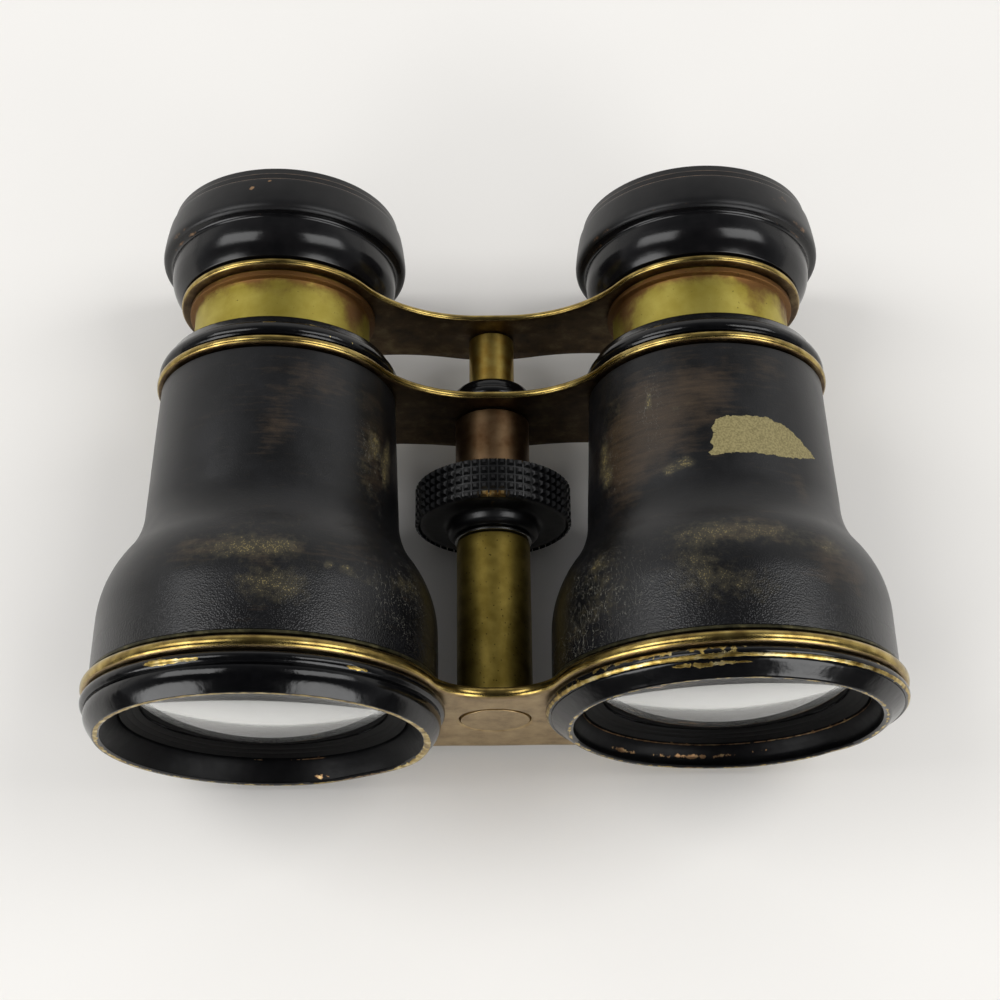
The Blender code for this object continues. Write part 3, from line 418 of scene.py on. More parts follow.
streak = put(tree, "TexNoise", {"Vector": place, "Scale": 0.5, "Detail": 6})
edge_tone = put(tree, "ValToRGB", {"Fac": streak}, stops=[
    (0.32, "#796538"), (0.52, "#a18b4f"), (0.72, "#bca769")])
mask = put(tree, "Math", {0: streak, 1: 0.25, 2: edge.outputs["Fac"]}, operation="MULTIPLY_ADD")
polished = put(tree, "MapRange", {
    "Value": mask, "From Min": 0.40, "From Max": 0.85}, interpolation_type="SMOOTHSTEP")
colour = put(tree, "MixRGB", {"Fac": polished, "Color1": face_tone, "Color2": edge_tone})
gloss = put(tree, "MapRange", {"Value": polished, "To Min": 0.46, "To Max": 0.25})
scratches = put(tree, "TexNoise", {"Vector": place, "Scale": 2.4, "Detail": 6})
bump = put(tree, "Bump", {"Height": scratches, "Strength": 0.011, "Distance": 0.0001})
put(tree, shader, {"Base Color": colour, "Metallic": 1.0, "Roughness": gloss, "Normal": bump})


def plate_outline(ring_radius, waist_top, half_flat, foot, boss_radius, fillet):
    """Outline of a bridge: round ends, a dipped top, and a bottom that swells at the column."""
    ring = (AXIS_X, 0.0)
    boss = (0.0, foot + boss_radius)
    span = math.dist(boss, ring)
    reach_a = boss_radius + fillet
    reach_b = ring_radius + fillet
    along = (reach_a ** 2 - reach_b ** 2 + span ** 2) / (2 * span)
    across = math.sqrt(reach_a ** 2 - along ** 2)
    lean = math.atan2(ring[1] - boss[1], ring[0] - boss[0])
    hollow = (boss[0] + along * math.cos(lean) + across * math.sin(lean),
              boss[1] + along * math.sin(lean) - across * math.cos(lean))
    reach = ring[0] - half_flat
    dip_radius = (reach ** 2 + waist_top ** 2 - ring_radius ** 2) / (2 * (ring_radius - waist_top))
    dip = (half_flat, waist_top + dip_radius)

    def toward(a, b):
        return math.atan2(b[1] - a[1], b[0] - a[0])

    half = arc(boss, boss_radius, -math.pi / 2, toward(boss, hollow), 10)
    half += arc(hollow, fillet, toward(hollow, boss), toward(hollow, ring), 16)[1:]
    half += arc(ring, ring_radius, toward(ring, hollow), toward(ring, dip), 110)[1:]
    half += arc(dip, dip_radius, toward(dip, ring), -math.pi / 2, 36)[1:]
    return half + [(-px, pz) for px, pz in reversed(half[1:])]


def plate(front, thickness, rounding, outline, ring_hole, column_hole, face=0.0):
    """A plate with rounded edges, bored for both rings and the column; face makes it paler."""
    flat = bpy.data.curves.new("plate", "CURVE")
    flat.dimensions = "2D"
    flat.fill_mode = "BOTH"
    flat.extrude = thickness / 2 - rounding
    flat.bevel_depth = rounding
    flat.bevel_resolution = 6
    flat.offset = -rounding
    holes = [((x, 0.0), ring_hole) for _, x in SIDES] + [((0.0, COLUMN_Z), column_hole)]
    for loop in [outline] + [arc(hole, radius, 0, 2 * math.pi, 96)[:-1] for hole, radius in holes]:
        spline = flat.splines.new("POLY")
        spline.points.add(len(loop) - 1)
        for point, (px, pz) in zip(spline.points, loop):
            point.co = (px, pz, 0, 1)
        spline.use_cyclic_u = True
    holder = bpy.data.objects.new("plate", flat)
    mesh = bpy.data.meshes.new_from_object(holder)
    bpy.data.objects.remove(holder)
    bpy.data.curves.remove(flat)
    mesh.transform(Matrix.Translation((0, front + thickness / 2, 0))
                   @ Matrix.Rotation(math.pi / 2, 4, "X"))
    weld(mesh)
    half = thickness / 2
    behind = [vertex.co.y - front - half for vertex in mesh.vertices]
    brush_on(mesh, "wear", [min(1.0, 2.2 * (1 - abs(depth) / half)) for depth in behind])
    brush_on(mesh, "pale", [face if depth < 0 else 0.0 for depth in behind])
    return mesh


for node, body, made in (
        ("lower_bridge", "glasses_body",
         plate(0.0, 1.7, 0.80, plate_outline(24.76, 2.4, 0.6, -21.7, 70, 70), 22.2, 4.9, face=1.0)),
        ("middle_bridge", "glasses_body",
         plate(46.9, 1.27, 0.60, plate_outline(17.84, 0.4, 2.0, -16.65, 40, 40), 15.7, 4.9)),
        ("eye_bridge", "eyepiece_carriage",
         plate(61.17, 1.1, 0.52, plate_outline(15.2, -1.4, 2.0, -14.25, 25, 33), 13.2, 2.0))):
    dress(f"{node}_plate", made, [BRIDGE_BRASS], "dark_brass", body, node)


# Objective cells: turned brass hoods with a bead, screwed in through the lower bridge.
# Their black japan is baked and glossy, and it has worn to brass on the beads and lips.
def japanned(name, least, most, level, bare):
    """Black japan on brass, with a gloss range, a specular level and colours where it is worn."""
    material, tree, shader, place = finish(name)
    worn = broken(tree, place, "wear", 1.1, edge=0.025)
    old = put(tree, "TexNoise", {"Vector": place, "Scale": 0.8, "Detail": 6})
    brass_tone = put(tree, "ValToRGB", {"Fac": old}, stops=list(zip((0.33, 0.52, 0.70), bare)))
    japan_tone = put(tree, "ValToRGB", {"Fac": old}, stops=[(0.3, "#050506"), (0.7, "#0b0b0c")])
    colour = put(tree, "MixRGB", {"Fac": worn, "Color1": japan_tone, "Color2": brass_tone})
    haze = put(tree, "TexNoise", {"Vector": place, "Scale": 0.5, "Detail": 8, "Roughness": 0.7})
    sheen = put(tree, "MapRange", {
        "Value": haze, "From Min": 0.3, "From Max": 0.7, "To Min": least, "To Max": most})
    gloss = put(tree, "Mix", {0: worn, 2: sheen, 3: 0.34})
    swell = put(tree, "TexNoise", {"Vector": place, "Scale": 0.7, "Detail": 3})
    chip = put(tree, "Math", {0: worn, 1: -0.35, 2: swell}, operation="MULTIPLY_ADD")
    bump = put(tree, "Bump", {"Height": chip, "Strength": 0.30, "Distance": 0.00012})
    put(tree, shader, {
        "Base Color": colour, "Metallic": worn, "Roughness": gloss, "Normal": bump,
        "Specular IOR Level": level})
    return material


# Baked japan mirrors the windows sharply, the paint inside the hoods is dull and mirrors
# little, and fingers have rubbed the japan of the wheel to a satin
JAPAN = japanned("black_japan_on_brass", 0.10, 0.20, 0.34, ("#6b5524", "#b59c58", "#d6c89a"))
DULL_PAINT = japanned("dull_black_paint_on_brass", 0.30, 0.45, 0.07,
                      ("#5d4630", "#7c6146", "#a18a62"))
RUBBED_JAPAN = japanned("rubbed_japan_on_the_wheel", 0.28, 0.40, 0.50,
                        ("#5d4c31", "#93794c", "#c0ab7d"))

# Each hood's length, lip, wear on its bead and on the step inside, outer curve, and marks
HOODS = {
    "left": {
        "reach": 5.35, "lip": 22.57, "crest": 0.06, "crease": 0.30,
        "swell": [(23.92, -1.90), (23.94, -2.00), (24.04, -2.25), (24.08, -2.7), (24.00, -3.25),
                  (23.80, -3.75), (23.50, -4.25), (23.12, -4.78), (22.72, -5.30)],
        "marks": [(-28, -1.2, 3.0, 0.45, 0.56), (-24, -1.3, 4.0, 0.50, 0.60),
                  (-18, -1.4, 3.5, 0.36, 0.56), (-14, -1.4, 3.0, 0.34, 0.54),
                  (0, -5.35, 100, 0.5, 0.20),
                  (33, -1.5, 2.5, 0.40, 0.52), (38, -1.6, 4.0, 0.25, 0.46),
                  (165, -4.6, 7, 0.5, 0.46),
                  (8, -1.0, 1.0, 0.3, 0.42), (100, -5.35, 30, 0.5, 0.30),
                  (-170, -2.0, 4, 0.5, 0.42), (165, -2.2, 8, 0.4, 0.40), (150, -4.2, 6, 0.4, 0.30)],
    },
    "right": {
        "reach": 3.7, "lip": 21.80, "crest": 0.68, "crease": 0.62,
        "swell": [(23.92, -1.85), (23.90, -1.95), (23.72, -2.15), (23.30, -2.50), (22.80, -2.90),
                  (22.30, -3.30), (21.96, -3.60)],
        "marks": [(-34, -0.6, 12, 0.35, 0.36), (-13, -2.45, 9, 0.50, 0.50),
                  (-22, -2.30, 5, 0.30, 0.34), (-3, -2.3, 6, 0.16, 0.40),
                  (14, -2.9, 10, 0.35, 0.16), (-172, -2.15, 22, 0.50, 0.50),
                  (-140, -2.3, 9, 0.40, 0.48), (160, -1.7, 8, 0.4, 0.36), (-10, -0.6, 8, 0.3, 0.2)],
    },
}


def lip_dents(side):
    """The knocks in a hood's lip, which fade towards the bead, in millimetres."""
    reach = HOODS[side]["reach"]

    def moved(angle, station, radius):
        fade = min(1.0, max(0.0, (-1.6 - station) / (reach - 1.6))) ** 1.5
        around = (angle + 180) % 360 - 180
        if side == "left":
            knock = -0.75 * math.exp(-((around - 146) / 15) ** 2)
            knock += 0.20 * math.exp(-((around - 118) / 10) ** 2)
        else:
            low = math.exp(-((abs(around) - 180) / 60) ** 2)
            knock = -0.28 * low + 0.16 * low * math.sin(math.radians(around * 7 + 40))
            knock -= 0.35 * math.exp(-((around - 128) / 7) ** 2)
        return fade * knock

    return moved


def curve_on(points, steps, wear=0.0):
    """A smooth curve through points, with this many steps between neighbours, and its wear."""
    ends = [points[0]] + list(points) + [points[-1]]
    smooth = []
    for a, b, c, d in zip(ends, ends[1:], ends[2:], ends[3:]):
        for i in range(steps):
            t = i / steps
            smooth.append((*[
                0.5 * (2 * q + (r - p) * t + (2 * p - 5 * q + 4 * r - s) * t * t
                       + (3 * q - p - 3 * r + s) * t ** 3)
                for p, q, r, s in zip(a, b, c, d)], wear))
    return smooth + [(*points[-1], wear)]


for side, x in SIDES:
    hood = HOODS[side]
    lip = -hood["reach"]
    bead = arc((23.78, -1.15), 0.86, math.radians(80), math.radians(-64), 18)
    cell = [(radius, station, hood["crest"] if -1.85 < station < -1.45 else hood["crest"] * 0.55)
            for radius, station in bead]
    cell += curve_on(hood["swell"], 4, 0.05)
    cell += [(hood["lip"] - 0.05, lip, 0.40), (hood["lip"] - 0.30, lip, 0.56),
             (hood["lip"] - 0.62, lip + 0.05, 0.36), (hood["lip"] - 0.85, lip + 0.22, 0.15)]
    cell += curve_on([(hood["lip"] - 0.87, lip + 0.3), (20.9, lip + 1.2), (20.1, lip + 2.3),
                      (19.75, lip + 2.9)], 6, 0.08)
    cell += [(19.71, lip + 3.0, hood["crease"] - 0.25), (19.68, lip + 3.07, hood["crease"]),
             (19.66, lip + 3.13, hood["crease"]), (19.65, lip + 3.2, hood["crease"] - 0.25)]
    stop = lip + 12.6
    cell += [(19.65, stop), (17.55, stop), (17.55, stop + 1.2), (21.85, stop + 1.2),
             (21.85, -0.3), (23.7, -0.3)]
    mesh = turned(cell, x, steps=256, paints={"wear": hood["marks"]}, shape=lip_dents(side))
    refinish(mesh, x, lambda radius, outward: radius < hood["lip"] - 0.80)
    dress(f"{side}_objective_cell", mesh, [JAPAN, DULL_PAINT], "japan", "glasses_body",
          f"objective_cell_{side}")


# Retaining rings: thin brass rings blackened matt, screwed into the cells against the lenses.
# Fine turned grooves run round the cone, where the tool left them, and barely catch light.
SATIN_BLACK, tree, shader, place = finish("satin_black_paint")
dust = put(tree, "TexNoise", {"Vector": place, "Scale": 1.4, "Detail": 6})
tone = put(tree, "ValToRGB", {"Fac": dust}, stops=[(0.4, "#050505"), (0.8, "#0e0c0b")])
put(tree, shader, {"Base Color": tone, "Roughness": 0.45, "Specular IOR Level": 0.06})

GROOVES = 3
for side, x in SIDES:
    front = 3.30 - HOODS[side]["reach"]
    cone = [(19.35, front + 2.0), (19.35, front)]
    for i in range(GROOVES):
        radius = 19.25 - 2.3 * i / GROOVES
        step = front + 0.1 + 1.15 * i / GROOVES
        cone += [(radius, step), (radius - 0.70, step + 0.33), (radius - 0.74, step + 0.38)]
    cone += [(16.9, front + 1.30), (16.9, front + 1.40)]
    dress(f"{side}_retaining_ring", turned(cone, x), [SATIN_BLACK], "matt", "glasses_body",
          f"objective_retaining_ring_{side}")


# Objectives: cemented doublets of crown and flint glass, strongly curved in front and flat
# behind, with a ground edge left white. A low view meets total reflection inside them.
LENS_GLASS, tree, shader, place = finish("optical_crown_glass")
put(tree, shader, {
    "Base Color": "#fbfdfc", "Roughness": 0.0, "IOR": 1.52, "Transmission Weight": 1.0})

# Ground glass: the unpolished edge, which scatters light and so shows as a pale grey band. Its
# faint glow stands for the light that the glass pipes to it, which a render traces poorly.
GROUND_GLASS, tree, shader, place = finish("ground_glass_edge")
put(tree, shader, {
    "Base Color": "#fbfdfe", "Roughness": 0.9, "Emission Color": "#e9f0f4",
    "Emission Strength": 0.22})

LENS_RADIUS, CLEAR_RADIUS, LENS_DEPTH, LENS_CURVE = 19.3, 16.9, 5.5, 50.0


def fall(radius):
    """How far back the front of the lens lies at a radius."""
    return LENS_CURVE - math.sqrt(LENS_CURVE ** 2 - radius ** 2)


for side, x in SIDES:
    seat = 4.80 - HOODS[side]["reach"]
    back = seat + LENS_DEPTH
    section = [(radius, seat - fall(CLEAR_RADIUS) + fall(radius))
               for radius in [LENS_RADIUS * i / 40 for i in range(41)]]
    section += [(LENS_RADIUS, back), (9.0, back), (0.0, back)]
    doublet = turned(section, x, steps=160)
    refinish(doublet, x, lambda radius, outward: radius > LENS_RADIUS - 0.1 and outward > 15)
    dress(f"{side}_objective_lens", doublet, [LENS_GLASS, GROUND_GLASS], "glass", "glasses_body",
          f"objective_crown_lens_{side}", f"objective_flint_lens_{side}")


# Collars: turned brass rings screwed into the tops of the barrels, japanned black. A felt seal
# in each one's groove rubs on the draw tube, and a long sleeve below guides it.
# Felt: pressed wool, dusty black and fuzzy, without any gloss.
FELT, tree, shader, place = finish("black_wool_felt")
fuzz = put(tree, "TexNoise", {"Vector": place, "Scale": 9.0, "Detail": 6})
tone = put(tree, "ValToRGB", {"Fac": fuzz}, stops=[(0.35, "#0b0b0b"), (0.7, "#2a2927")])
bump = put(tree, "Bump", {"Height": fuzz, "Strength": 0.8, "Distance": 0.0002})
put(tree, shader, {"Base Color": tone, "Roughness": 0.95, "Normal": bump})

COLLAR_MARKS = {
    "left": [(-1, 50.3, 3, 0.3, 0.40), (3.5, 50.3, 2, 0.25, 0.42), (26, 50.4, 5, 0.2, 0.40),
             (14, 50.9, 4, 0.25, 0.44), (20, 50.6, 5, 0.3, 0.44),
             (30, 49.0, 1.5, 0.2, 0.44), (42, 49.1, 2, 0.3, 0.44)],
    "right": [(-30, 50.3, 8, 0.3, 0.32), (12, 50.5, 5, 0.2, 0.36), (50, 49.3, 6, 0.3, 0.34)],
}
COLLAR_BORE, SEAL_GROOVE = 13.35, 14.85
collar = [(15.35, 29.9), (15.35, 48.47)]
collar += curve_on([(17.30, 48.47), (17.58, 48.9), (17.62, 49.5), (17.38, 50.15),
                    (17.12, 50.42)], 5, 0.14)
collar += [(17.02, 50.44, 0.22), (16.97, 50.52), (16.42, 51.62), (16.30, 51.80, 0.26),
           (16.12, 51.87, 0.26), (13.6, 51.87), (COLLAR_BORE, 51.75), (COLLAR_BORE, 51.07),
           (SEAL_GROOVE, 51.07), (SEAL_GROOVE, 49.27), (COLLAR_BORE, 49.27), (COLLAR_BORE, 29.9)]
for side, x in SIDES:
    dress(f"{side}_collar", turned(collar, x, paints={"wear": COLLAR_MARKS[side]}),
          [JAPAN], "japan", "glasses_body", f"barrel_collar_{side}")
    frame["nodes"][f"draw_tube_seal_{side}"].material_slots[0].material = FELT


# Draw tubes: seamless brass tubes with a narrow shoulder under the eye bridge. Years of sliding in
# the felt have kept them olive and satin, with a line of copper at the shoulder, and towards the
# shoulder they are painted darker, a painted shade under the eye bridge.
TUBE_BRASS, tree, shader, place, tone = tarnished(
    "olive_draw_tube_brass", {"Scale": 0.20, "Detail": 6, "Roughness": 0.55},
    [(0.34, "#9c8d3c"), (0.66, "#b6a856")], {"Scale": 5.0, "Detail": 5}, 0.44, 0.58, relief=0.12)
# The wear turns the brass copper brown. At the shoulder this is a real line of copper, and its rise
# up the tube from station 55 is a painted shade under the eye bridge.
copper = broken(tree, place, "wear", 3.0, edge=0.25)
coppered_and_shaded = put(tree, "MixRGB", {"Fac": copper, "Color1": tone, "Color2": "#71512f"})
pit = put(tree, "TexNoise", {"Vector": place, "Scale": 2.2, "Detail": 2})
pitted = put(tree, "MapRange", {"Value": pit, "From Min": 0.72, "From Max": 0.76})
mixed = put(tree, "MixRGB", {"Fac": pitted, "Color1": coppered_and_shaded, "Color2": "#4a4020"})
put(tree, shader, {"Base Color": mixed})

TUBE_MARKS = {"left": [(60, 55, 12, 7, 0.50), (8, 56, 9, 3, 0.10)],
              "right": [(32, 55, 12, 9, 0.36), (66, 55, 10, 9, 0.30), (-62, 55, 12, 7, 0.46)]}
TUBE_RADIUS, TUBE_BORE = 13.05, 12.45
tube = [(TUBE_BORE, 30.17), (TUBE_RADIUS, 30.17)]
tube += [(TUBE_RADIUS, 31 + 2 * i) for i in range(13)]
# Wear that rises towards the shoulder: a painted shade under the eye bridge.
tube += [(TUBE_RADIUS, 55 + i / 2, 0.42 * i / 8) for i in range(1, 9)]
tube += [(TUBE_RADIUS, 59.7, 0.60), (13.12, 59.95, 0.7), (13.35, 60.07, 0.75),
         (13.72, 60.12, 0.8), (13.85, 60.22, 0.8), (13.85, 60.87, 0.7), (TUBE_RADIUS, 60.87, 0.4),
         (TUBE_RADIUS, 65.37), (TUBE_BORE, 65.37)]
for side, x in SIDES:
    mesh = turned(tube, x, paints={"wear": TUBE_MARKS[side]})
    refinish(mesh, x, lambda radius, outward: outward < -1)
    dress(f"{side}_draw_tube", mesh, [TUBE_BRASS, BLACKING], "brass", "eyepiece_carriage",
          f"draw_tube_{side}")


# Eyecups: turned brass with a bell below, an undercut, a drum that tapers and a stepped rim.
# The same baked japan, satin on the drum from handling, its edges worn to a brown line.
SATIN_JAPAN, tree, shader, place = finish("satin_japan_on_brass")
worn = broken(tree, place, "wear", 1.6, edge=0.12)
old = put(tree, "TexNoise", {"Vector": place, "Scale": 0.5, "Detail": 7})
brown_tone = put(tree, "ValToRGB", {"Fac": old}, stops=[(0.35, "#472f20"), (0.6, "#84674a")])
japan_tone = put(tree, "ValToRGB", {"Fac": old}, stops=[(0.3, "#080809"), (0.7, "#121112")])
colour = put(tree, "MixRGB", {"Fac": worn, "Color1": japan_tone, "Color2": brown_tone})
dull = put(tree, "Attribute", attribute_name="satin")
gloss = put(tree, "MapRange", {"Value": dull.outputs["Fac"], "To Min": 0.15, "To Max": 0.38})
swell = put(tree, "TexNoise", {"Vector": place, "Scale": 1.2, "Detail": 5})
bump = put(tree, "Bump", {"Height": swell, "Strength": 0.12, "Distance": 0.0001})
put(tree, shader, {
    "Base Color": colour, "Roughness": gloss, "Normal": bump, "Specular IOR Level": 0.34})

EYECUP_MARKS = {
    "left": [(-9.4, 72.2, 1.0, 0.35, 0.95), (-1.5, 73.4, 1.3, 0.12, 0.9), (-55, 68, 12, 3, 0.20)],
    "right": [(36, 71.5, 9, 2.0, 0.25), (52, 69.3, 8, 1.2, 0.28), (46, 73, 8, 1.5, 0.18),
              (-60, 69, 12, 2, 0.18)],
}
SOCKET, PEEPHOLE, LENS_BORE, DRUM_FOOT = 13.35, 8.2, 10.3, 68.6
cup = [(SOCKET, 62.57), (15.08, 62.57)]
cup += curve_on([(15.18, 62.62), (15.74, 63.36), (16.30, 64.3), (16.70, 65.4), (16.86, 66.4),
                 (16.92, 67.3), (16.93, 67.9)], 6, 0.06)
cup += [(17.00, 68.12, 0.12), (17.12, 68.27, 0.24), (17.28, 68.36, 0.22), (17.46, 68.42),
        (17.72, 68.49), (18.00, 68.62, 0.10), (18.20, 68.84, 0.26), (18.31, 69.10, 0.26),
        (18.37, 69.4, 0.12)]
cup += [(18.38 - 0.60 * i / 10 * (0.6 + 0.4 * i / 10), 69.8 + 4.05 * i / 10, 0.06)
        for i in range(11)]
cup += [(17.74, 73.96, 0.34), (17.66, 74.07, 0.85), (17.54, 74.14, 0.55), (17.44, 74.20, 0.12),
        (17.40, 74.32), (17.36, 75.00, 0.10), (17.32, 75.12, 0.62), (17.24, 75.20, 0.30),
        (17.16, 75.34), (17.10, 76.02, 0.10), (17.02, 76.19, 0.30),
        (16.90, 76.27, 0.30), (16.45, 76.27, 0.10), (16.32, 76.18)]
cup += curve_on([(16.25, 76.1), (15.0, 74.3), (12.3, 72.35), (10.0, 71.4), (PEEPHOLE, 70.87)],
                8, 0.05)
cup += [(PEEPHOLE, 70.27), (LENS_BORE, 70.27), (LENS_BORE, 65.67), (SOCKET, 65.67)]
for side, x in SIDES:
    mesh = turned(cup, x, steps=224, paints={"wear": EYECUP_MARKS[side]})
    brush_on(mesh, "satin", [1.0 if v.co.y > DRUM_FOOT else 0.15 for v in mesh.vertices])
    dress(f"{side}_eyecup", mesh, [SATIN_JAPAN], "japan", "eyepiece_carriage",
          f"eyecup_{side}")


# Eye lenses: small hollow lenses of crown glass, each held in its eyecup by a blackened ring.
# They sit deep in the dish of the cup.
EYE_LENS_RADIUS = 10.0


def hollow(radius):
    """How deep a face of an eye lens is hollowed at a radius."""
    return 0.6 * (1 - (radius / EYE_LENS_RADIUS) ** 2)


radii = [EYE_LENS_RADIUS * i / 16 for i in range(17)]
eye_lens = [(radius, 67.67 + hollow(radius)) for radius in radii]
eye_lens += [(radius, 69.97 - hollow(radius)) for radius in radii[::-1]]
ring = [(8.4, 65.9), (EYE_LENS_RADIUS, 65.87), (EYE_LENS_RADIUS, 67.37), (8.6, 67.37), (8.4, 67.2)]
for side, x in SIDES:
    dress(f"{side}_eye_lens", turned(eye_lens, x, steps=96), [LENS_GLASS], "glass",
          "eyepiece_carriage", f"eye_lens_{side}")
    dress(f"{side}_eye_lens_ring", turned(ring, x, steps=96), [SATIN_BLACK], "matt",
          "eyepiece_carriage", f"eye_lens_ring_{side}")


# Column: a brass plug riveted in the lower bridge, the lower tube on it, a bright washer under
# the wheel, and the upper sleeve. The tube is olive and pitted, the sleeve has gone brown.
# Browned brass: finger grease has turned the sleeve a satin brown, ruddier than the tubes.
SLEEVE_BRASS, *_ = tarnished(
    "browned_sleeve_brass", {"Scale": 0.35, "Detail": 6},
    [(0.35, "#5c432c"), (0.65, "#7d654a")], {"Scale": 6.0, "Detail": 5}, 0.34, 0.48)

# Pitted brass: its colour is darker than the draw tubes', a painted shade for where it stands low
# between the barrels, and it has black pits
PITTED_BRASS, tree, shader, place, tone = tarnished(
    "pitted_column_brass", {"Scale": 0.4, "Detail": 6},
    [(0.34, "#71612a"), (0.66, "#8f7d3e")], {"Scale": 5.0, "Detail": 5}, 0.42, 0.58)
pit = put(tree, "TexVoronoi", {"Vector": place, "Scale": 1.3})
ragged = put(tree, "TexNoise", {"Vector": place, "Scale": 4.0, "Detail": 3})
pit = put(tree, "Math", {0: ragged, 1: 0.25, 2: pit.outputs["Distance"]}, operation="MULTIPLY_ADD")
pit = put(tree, "MapRange", {
    "Value": pit, "From Min": 0.20, "From Max": 0.30, "To Min": 1.0, "To Max": 0.0})
tone = put(tree, "MixRGB", {"Fac": pit, "Color1": tone, "Color2": "#3f3518"})
bump = put(tree, "Bump", {"Height": pit, "Strength": 0.3, "Distance": 0.0001}, invert=True)
put(tree, shader, {"Base Color": tone, "Normal": bump})

# Nickel silver: white metal that keeps bright, so the washer glints between the dull tubes
NICKEL, tree, shader, place = finish("bright_nickel_silver")
grit = put(tree, "TexNoise", {"Vector": place, "Scale": 4.0, "Detail": 5})
tone = put(tree, "ValToRGB", {"Fac": grit}, stops=[(0.3, "#9b9a96"), (0.7, "#d6d6d2")])
put(tree, shader, {"Base Color": tone, "Metallic": 1.0, "Roughness": 0.24})

plug = [(0.0, 0.0), (4.83, 0.0), (4.88, 0.06), (4.88, 1.7), (4.3, 1.7), (4.3, 9.0), (0.0, 9.0)]
plug = turned(plug, z=COLUMN_Z, steps=96, paints={"pale": [(0, 0, 900, 900, 1.0)]})
dress("column_plug_rivet", plug, [BRIDGE_BRASS], "brass", "glasses_body", "column_plug")
COLUMN_RADIUS, COLUMN_BORE, SLEEVE_RADIUS, SLEEVE_BORE = 5.42, 4.62, 5.58, 4.88
tube = [(COLUMN_BORE, 2.0), (COLUMN_RADIUS, 2.0)]
tube += [(COLUMN_RADIUS, 2.2 + 24.4 * i / 20) for i in range(21)]
tube += [(5.36, 26.8), (COLUMN_BORE, 26.8)]
washer = [(COLUMN_BORE, 27.1), (5.56, 27.1), (5.66, 27.16), (5.66, 27.42), (5.6, 27.5),
          (COLUMN_BORE, 27.5)]
sleeve = [(SLEEVE_BORE, 36.1), (5.5, 36.1), (SLEEVE_RADIUS, 36.2)]
sleeve += [(SLEEVE_RADIUS, 36.5 + i) for i in range(10)]
sleeve += [(SLEEVE_RADIUS, 46.6), (SLEEVE_BORE, 46.6)]
for name, section, metal, slot, node in (
        ("column_lower_tube", tube, PITTED_BRASS, "brass", "column_tube"),
        ("wheel_washer", washer, NICKEL, "steel", "column_washer"),
        ("column_upper_sleeve", sleeve, SLEEVE_BRASS, "copper", "column_sleeve")):
    dress(name, turned(section, z=COLUMN_Z, steps=128), [metal], slot, "glasses_body", node)


# Gland nut: a small domed nut of japanned brass, screwed into the sleeve through the middle
# bridge. It guides the post.
gland = [(3.75, 41.9), (4.58, 41.9), (4.58, 48.47), (6.3, 48.47)]
gland += [(6.3 + 0.35 * math.cos(a), 49.45 + 0.75 * math.sin(a), 0.06)
          for a in [math.radians(-60 + 140 * i / 12) for i in range(13)]]
gland += [(6.2, 50.25), (6.1, 50.35)]
gland += [(4.05 + 2.0 * math.cos(a), 50.5 + 1.85 * math.sin(a), 0.05)
          for a in [math.radians(86 * i / 12) for i in range(13)]]
gland += [(3.75, 52.3)]
dress("post_gland_nut", turned(gland, z=COLUMN_Z, steps=128), [JAPAN], "japan",
      "glasses_body", "gland_nut")


